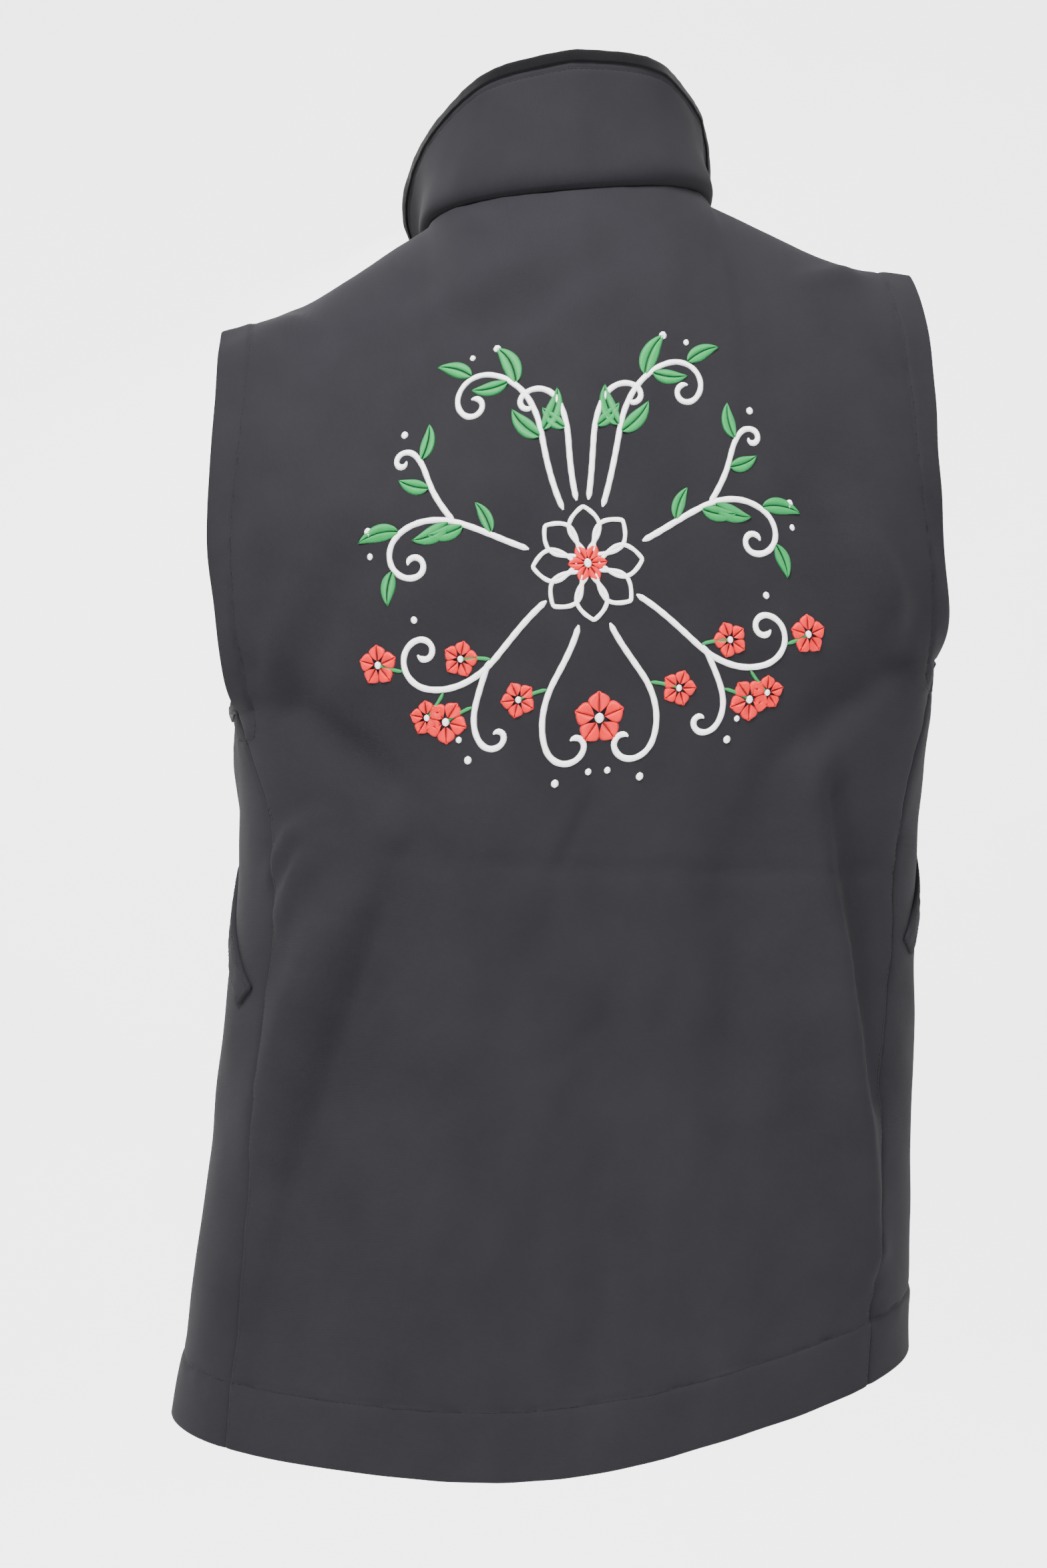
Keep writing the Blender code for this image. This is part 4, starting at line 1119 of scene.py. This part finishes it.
backGirth, frontGirth = vestForm["backGirth"], vestForm["frontGirth"]
hemShare = clothMake["hemBand"] / vestForm["drop"]
stitchRows = {"back": [onCloth("back", np.linspace(-0.985, 0.985, 160), hemShare)]}
for name, sign in (("left", 1), ("right", -1)):
    tack = 1 - (vestForm["armpit"] - sewing["tacks"][name]) / vestForm["drop"]
    stitchRows["back"] += [armRow("back", sign),
                           onCloth("back", sign * (1 - sewing["sideRow"] / backGirth),
                                   np.linspace(0.006, tack, 90))]
    for k in range(sewing["tackRows"]):
        stitchRows["back"].append(onCloth("back", sign * (1 - (0.0006 + 0.0005 * k) / backGirth),
                                          np.linspace(tack, tack + 0.016, 4)))
    stitchRows[name] = [onCloth(name, np.linspace(0.03, 0.985, 90), hemShare), armRow(name, 1),
                        onCloth(name, sewing["frontRow"] / frontGirth,
                                np.linspace(0.01, 1.97, 160))] + weltRows[name]
stitchRows["collar"] = [onCloth("collar", np.linspace(-0.965, 0.965, 120), collarMake["stitchAt"])]
for sign in (1, -1):
    stitchRows["collar"].append(onCloth("collar", sign * (1 - sewing["frontRow"] / reach),
                                        np.linspace(0.04, 0.87, 30)))
threadTree = alongTree("rows of stitches", "thread", sewingThread)
for name, paths in stitchRows.items():
    made = alongLines(name + "Stitches", paths, threadTree, sewing, sewingThread)
    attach(made, "vest")

# Satin stitching on the back: a mirrored spray of scrolls, leaves and small flowers, drawn in
# millimetres from its own middle, a growing to the wearer's left and b upward
spray = {
    "middle": (0.0045, 0.0625),  # across, and up from the underarm's height, in metres
    "stretch": (1.06, 1.10),
    "line": (3.2, 0.9),  # width and height of the scrolls, stems and outlined petals
    "stem": (2.0, 0.8),
    "outline": (2.3, 0.8),
    "scrolls": {  # start, heading in degrees, legs of (length, bend from, bend to)
        "riser": (10, 27, 68, ((40, 0.5, 0.1), (46, -0.7, -2.1), (34, -3.2, -5.8),
                               (22, -7.5, -15))),
        "crown": (3.0, 31, 79, ((30, 0.4, 0.1), (22, -0.6, -1.4), (22, -3.2, -6.5), (14, -9, -19))),
        "arm": (29, 9, 22, ((38, 0.5, -0.6), (34, -1.1, -2.4), (32, -3.6, -6.2), (20, -8.5, -17))),
        "hook": (66, 25.5, 52, ((22, 0.3, 1.0), (20, 1.4, -3.5), (14, -6, -15), (8, -18, -26))),
        "sweep": (23, -17, -34, ((38, -0.7, 0.1), (40, 0.9, 2.0), (34, 3.2, 5.8), (22, 8, 16))),
        "branch": (55, -44, -66, ((20, -0.2, -0.4), (22, -1.0, -3.8), (16, -5.4, -12),
                                  (8, -16, -22))),
        "tail": (8, -30, -70, ((30, 1.0, -0.2), (34, -1.1, -1.9), (26, -3.8, -7.2),
                               (12, -9.5, -17))),
    },
    "leaves": (  # scroll, share along it, degrees off its heading, length, width
        ("riser", 0.29, 48, 24, 9), ("riser", 0.27, -50, 22, 9), ("riser", 0.50, 40, 26, 10),
        ("riser", 0.53, -58, 20, 8), ("riser", 0.68, 62, 22, 9), ("crown", 0.42, -50, 17, 7),
        ("arm", 0.28, -46, 20, 8), ("arm", 0.34, -52, 22, 9), ("arm", 0.56, 44, 24, 9),
        ("hook", 0.58, 56, 20, 8), ("hook", 0.34, -60, 18, 8), ("arm", 0.73, 58, 18, 8),
        ("arm", 0.16, 52, 18, 7),
    ),
    "flowers": (  # scroll, share along it, degrees off its heading, stem, radius
        ("sweep", 0.70, -66, 15, 10), ("sweep", 0.30, 62, 17, 9), ("branch", 0.36, 64, 17, 11),
        ("tail", 0.34, 62, 17, 9), ("sweep", 0.52, -64, 17, 9),
    ),
    "lowFlower": (0, -76, 13),  # place and radius
    "berries": (  # scroll, share along it, degrees off its heading, distance, radius
        ("riser", 0.60, 76, 16, 2.2), ("riser", 0.66, 84, 12, 1.7), ("arm", 0.62, 84, 15, 2.2),
        ("arm", 0.67, 86, 11, 1.7), ("hook", 0.74, 72, 10, 2.0), ("sweep", 0.84, -84, 10, 1.8),
        ("branch", 0.66, 82, 10, 2.0), ("branch", 0.56, 84, 9, 1.6), ("tail", 0.74, 80, 10, 2.0),
        ("tail", 0.83, 80, 9, 1.7),
    ),
    "blossom": (28, 11),  # radius of the outlined petals and of the red middle
    # petals: count, foot, length and width by the radius, height, fullness
    "petal": (5, 0.2, 0.82, 0.98, 1.15, 1.25),
    "outerPetal": (8, 0.2, 0.8, 0.56, 1.0, 1.15),
    "innerPetal": (6, 1.6 / 11, 8.6 / 11, 0.62, 1.1, 1.1),
}


satinMake = {  # in millimetres
    "pitch": 0.42,  # from one stitch to the next, and the same for leaves
    "leafPitch": 0.44,
    "sink": 0.25,  # how far the underside lies in the cloth, and the rim
    "rimSink": 0.05,
    "lowStitch": 0.74,  # every second stitch is lower by this factor
    "fullWidth": 2.0,  # stitches narrower than this lie flatter, down to the least share
    "leastShare": 0.25,
    "ribGap": 0.06,  # keeps the halves of a leaf clear of each other
    "leastStitch": 0.2,
}


def strokeLine(x, y, heading, legs, step=satinMake["pitch"]):
    points = [(x, y)]
    h = math.radians(heading)
    for length, bendFrom, bendTo in legs:
        count = max(2, int(round(length / step)))
        ds = length / count
        for i in range(count):
            bend = math.radians(bendFrom + (bendTo - bendFrom) * (i + 0.5) / count)
            h += bend * ds / 2
            x += ds * math.cos(h)
            y += ds * math.sin(h)
            h += bend * ds / 2
            points.append((x, y))
    return np.array(points)


def sideways(line):
    way = np.gradient(line, axis=0)
    way /= np.maximum(np.linalg.norm(way, axis=1, keepdims=True), 1e-9)
    return np.stack([-way[:, 1], way[:, 0]], axis=1)


def arcs(grid, axis):
    # distance over a grid of points, along its columns (axis 0) or its rows (axis 1)
    legs = np.linalg.norm(np.diff(grid, axis=axis), axis=2)
    return np.insert(np.cumsum(legs, axis=axis), 0, 0, axis=axis)


# where a place on the drawing lies on the back panel: arc lengths across and up
arcU = np.linspace(-0.75, 0.75, 121)
arcW = np.linspace(0.70, 1.80, 100)
sample = clothAt("back", arcU[None, :], arcW[:, None])[0]
acrossArc, upArc = arcs(sample, 1), arcs(sample, 0)
acrossArc -= acrossArc[:, 60:61]
upArc -= np.array([np.interp(1.0, arcW, line) for line in upArc.T])[None, :]


def onBack(a, b):
    # metres across and up on the cloth to the panel's own shares, by repeated small corrections
    width, firstUp, stepUp = vestForm["armWidth"], 0.26, 0.34
    u, w = a / width, 1 + b / firstUp
    for _ in range(14):
        u = np.clip(u + (a - readGrid(acrossArc, arcW, arcU, u, w)) / width, -0.74, 0.74)
        w = np.clip(w + (b - readGrid(upArc, arcW, arcU, u, w)) / stepUp, 0.71, 1.79)
    return u, w


def satin(startRow, endRow, height, arch=5):
    # a closed cushion of thread rows: each row is a stitch from a start to an end point, in mm
    make = satinMake
    count = len(startRow)
    t = np.linspace(0, 1, arch)[None, :, None]
    line = startRow[:, None] * (1 - t) + endRow[:, None] * t
    profile = np.sqrt(np.clip(1 - (2 * t[..., 0] - 1) ** 2, 0, 1)) * 0.9 + 0.1
    width = np.linalg.norm(endRow - startRow, axis=1)[:, None]
    full = np.clip(width / make["fullWidth"], make["leastShare"], 1)
    ridge = np.where(np.arange(count) % 2 == 0, 1.0, make["lowStitch"])[:, None]
    lift = height * profile * full * ridge
    lift[:, 0] = lift[:, -1] = -make["rimSink"]
    flatPoints = np.concatenate([line, (startRow + endRow)[:, None] / 2], axis=1)
    lift = np.concatenate([lift, np.full((count, 1), -make["sink"])], axis=1)
    along = np.arange(count)[:, None] * make["pitch"]
    uv = np.stack(np.broadcast_arrays(along, np.append(t[0, :, 0], 0.5) * 3.0), axis=-1)
    return flatPoints, lift, uv


def thickLine(line, width, height, taper=3.0):
    side = sideways(line)
    run = runAlong(line)
    end = np.minimum(run, run[-1] - run)
    half = width / 2 * np.sqrt(np.clip(end / taper, 0.12, 1))
    count = np.arange(len(line))
    wobble = 0.10 * np.sin(count * 2.4) + 0.05 * np.sin(count * 0.37)
    half = (half + wobble * np.clip(end / taper, 0, 1))[:, None]
    return satin(line + side * half, line - side * half, height)


def leafHalves(x, y, heading, length, width, bend, height, fullness=0.8):
    pitch, least = satinMake["leafPitch"], satinMake["leastStitch"]
    rib = strokeLine(x, y, heading, ((length, bend, bend * 2),), step=pitch)
    side = sideways(rib)
    t = np.linspace(0, 1, len(rib))
    half = (width / 2 * np.sin(np.pi * t**fullness) ** 0.85)[:, None]
    ahead = np.clip(np.arange(len(rib)) + int(width * 0.30 / pitch), 0, len(rib) - 1)
    halves = []
    for turn in (1, -1):
        margin = rib + side * half * turn
        stitch = margin[ahead] * 0.75 + margin * 0.25 - rib
        size = np.linalg.norm(stitch, axis=1, keepdims=True)
        way = np.where(size > least, stitch / np.maximum(size, 1e-9), side * turn)
        halves.append(satin(rib + side * turn * satinMake["ribGap"],
                            rib + way * np.maximum(size, least), height, arch=6))
    return halves, rib + side * half, rib - side * half


def petals(kind, x, y, radius, turn):
    # leaf shapes round a middle, each from its foot outward
    count, foot, length, width, height, fullness = spray[kind]
    angles = [turn + 360 / count * k for k in range(count)]
    return [leafHalves(x + foot * radius * wayAt(angle)[0], y + foot * radius * wayAt(angle)[1],
                       angle, radius * length, radius * width, 0, height, fullness)
            for angle in angles]


def roundDot(x, y, radius, height):
    t = np.linspace(-1, 1, max(7, int(radius * 2 / satinMake["pitch"])))
    across = radius * np.sqrt(np.clip(1 - t**2, 0.02, 1))
    mid = np.stack([np.full(len(t), x), y + t * radius], axis=1)
    stitch = np.stack([across, 0 * across], axis=1)
    return satin(mid + stitch, mid - stitch, height)


lines = {name: strokeLine(*item) for name, item in spray["scrolls"].items()}


def onScroll(name, share):
    line = lines[name]
    i = int(share * (len(line) - 1))
    way = line[min(i + 1, len(line) - 1)] - line[i - 1]
    return line[i], math.degrees(math.atan2(way[1], way[0]))


threads = {"white": [thickLine(line, *spray["line"]) for line in lines.values()],
           "green": [], "red": []}
for name, share, off, length, width in spray["leaves"]:
    (x, y), heading = onScroll(name, share)
    c, s = wayAt(heading + off)
    threads["green"] += leafHalves(x + 1.2 * c, y + 1.2 * s, heading + off, length, width,
                                   -math.copysign(1.2, off), 1.1)[0]


def flower(x, y, radius, turn):
    for halves, _, _ in petals("petal", x, y, radius, turn):
        threads["red"].extend(halves)
    threads["white"].append(roundDot(x, y, radius * 0.19, 1.7))


for k, (name, share, off, stem, radius) in enumerate(spray["flowers"]):
    (x, y), heading = onScroll(name, share)
    stemLine = strokeLine(x, y, heading + off, ((stem, -math.copysign(2.2, off), 0),))
    threads["green"].append(thickLine(stemLine[3:], *spray["stem"]))
    flower(*stemLine[-1], radius, 90 + 17 * k)
for name, share, off, away, radius in spray["berries"]:
    (x, y), heading = onScroll(name, share)
    c, s = wayAt(heading + off)
    threads["white"].append(roundDot(x + away * c, y + away * s, radius, 1.0))


def mirrored(patch):
    flatPoints, lift, uv = patch
    return flatPoints * np.array([-1.0, 1.0]), lift, uv


sides = {name: {"left": list(items), "right": [mirrored(item) for item in items]}
         for name, items in threads.items()}
threads = {"white": [], "green": [], "red": []}
outer, inner = spray["blossom"]
for _, one, other in petals("outerPetal", 0, 0, outer, 90):
    margin = np.concatenate([one, other[::-1][1:]])
    run = runAlong(margin)
    even = np.arange(0, run[-1], satinMake["pitch"])
    smooth = np.stack([np.interp(even, run, margin[:, j]) for j in (0, 1)], axis=1)
    for _ in range(3):
        smooth[1:-1] = (smooth[:-2] + smooth[1:-1] * 2 + smooth[2:]) / 4
    threads["white"].append(thickLine(smooth, *spray["outline"]))
for halves, _, _ in petals("innerPetal", 0, 0, inner, 0):
    threads["red"] += halves
threads["white"].append(roundDot(0, 0, 2.3, 1.6))
flower(*spray["lowFlower"], 90)
for name, items in threads.items():
    sides[name]["middle"] = items


def layThread(name, patches, material):
    points, faces, places = [], [], []
    start = 0
    for flatPoints, lift, uv in patches:
        at = flatPoints.reshape(-1, 2) * np.array(spray["stretch"]) / 1000 + np.array(spray["middle"])
        base, out = onPanel("back", *onBack(at[:, 0], at[:, 1]))
        points.append(base + out * (lift.reshape(-1, 1) / 1000))
        places.append(uv.reshape(-1, 2) / 1000)
        grid = start + np.arange(lift.size).reshape(lift.shape)
        ahead = np.roll(grid, -1, axis=1)
        faces += np.stack([grid[:-1], ahead[:-1], ahead[1:], grid[1:]], axis=-1).reshape(-1, 4).tolist()
        faces += [grid[0, ::-1].tolist(), grid[-1].tolist()]
        start += lift.size
    mesh = bpy.data.meshes.new(name)
    mesh.from_pydata(np.concatenate(points).tolist(), [], faces)
    giveUv(mesh, "thread", np.concatenate(places))
    work = bmesh.new()
    work.from_mesh(mesh)
    bmesh.ops.recalc_face_normals(work, faces=work.faces[:])
    work.to_mesh(mesh)
    work.free()
    made = newObject(name, mesh, material)
    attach(made, "vest")
    mesh.calc_loop_triangles()
    print(name, len(mesh.loop_triangles), "triangles")


for name, material in (("white", whiteThread), ("green", greenThread), ("red", redThread)):
    for side, items in sides[name].items():
        if items:
            layThread(name + "Satin" + side.capitalize(), items, material)

# Studio
studio = {
    "floorZ": -1.20,
    "key": ((0.62, 1.30, 1.85), 0.8, 250),
    "fill": ((-1.50, 1.00, 1.00), 0.9, 34),
    "front": ((0.60, -1.90, 1.10), 1.4, 40),
    "world": ("#F5F4F6", 0.55),
    "aim": (0.02, 0.0, -0.35),
    "paper": ("#F1F1F1", "#F4F4F4"),
    "paperGlow": 1.7,
}
paper, tree, shader = newMaterial("matt paper backdrop", {"Roughness": 0.95})
where = addNode(tree, "ShaderNodeTexCoord")
grain = addNode(tree, "ShaderNodeTexNoise", None,
                {"Vector": (where, "Object"), "Scale": 4.0, "Detail": 3.0})
shade = addNode(tree, "ShaderNodeValToRGB", None, {"Fac": (grain, "Fac")},
                list(zip((0.3, 0.7), studio["paper"])))
for socket in ("Base Color", "Emission Color"):
    tree.links.new(shade.outputs["Color"], shader.inputs[socket])
shader.inputs["Emission Strength"].default_value = studio["paperGlow"]
# the paper runs level, then bends up behind
bends = [wayAt(90 * k / 8) for k in range(9)]
profile = ([(6.0, 0.0)] + [(-1.6 - 0.9 * s, 0.9 - 0.9 * c) for c, s in bends] + [(-2.5, 5.0)])
points = [(x, y, studio["floorZ"] + z) for x in (-6.0, 6.0) for y, z in profile]
count = len(profile)
mesh = bpy.data.meshes.new("floor")
mesh.from_pydata(points, [], [(i, i + 1, count + i + 1, count + i) for i in range(count - 1)])
floor = newObject("floor", mesh, paper)

world = bpy.data.worlds.new("studio")
bpy.context.scene.world = world
world.use_nodes = True
sky = world.node_tree.nodes["Background"].inputs
sky["Color"].default_value = linearColour(studio["world"][0])
sky["Strength"].default_value = studio["world"][1]


def softbox(name, spot, size, power):
    data = bpy.data.lights.new(name, "AREA")
    data.shape = "SQUARE"
    data.size = size
    data.energy = power
    made = linkNew(name, data)
    made.location = spot
    aim = Vector(studio["aim"]) - Vector(spot)
    made.rotation_euler = aim.to_track_quat("-Z", "Y").to_euler()


for name in ("key", "fill", "front"):
    softbox(name, *studio[name])

# Camera: level, 4 degrees round from the back, rolled 2.5 degrees as in the photograph
view = {
    "yaw": 4,
    "roll": 2.5,
    "place": (0.1455, 1.4935, -0.335),
    "lens": 58.23,
}
yaw, roll = math.radians(view["yaw"]), math.radians(view["roll"])
ahead = Vector((-math.sin(yaw), -math.cos(yaw), 0))
right = Vector((-math.cos(yaw), math.sin(yaw), 0))
up = Vector((0, 0, 1))
turnedRight = right * math.cos(roll) - up * math.sin(roll)
turnedUp = right * math.sin(roll) + up * math.cos(roll)
camera = linkNew("camera", bpy.data.cameras.new("camera"))
camera.data.sensor_fit = "VERTICAL"
camera.data.sensor_height = 36
camera.data.lens = view["lens"]
turn = Matrix((turnedRight, turnedUp, -ahead)).transposed().to_4x4()
camera.matrix_world = Matrix.Translation(view["place"]) @ turn
bpy.context.scene.camera = camera
print("studio and camera made")
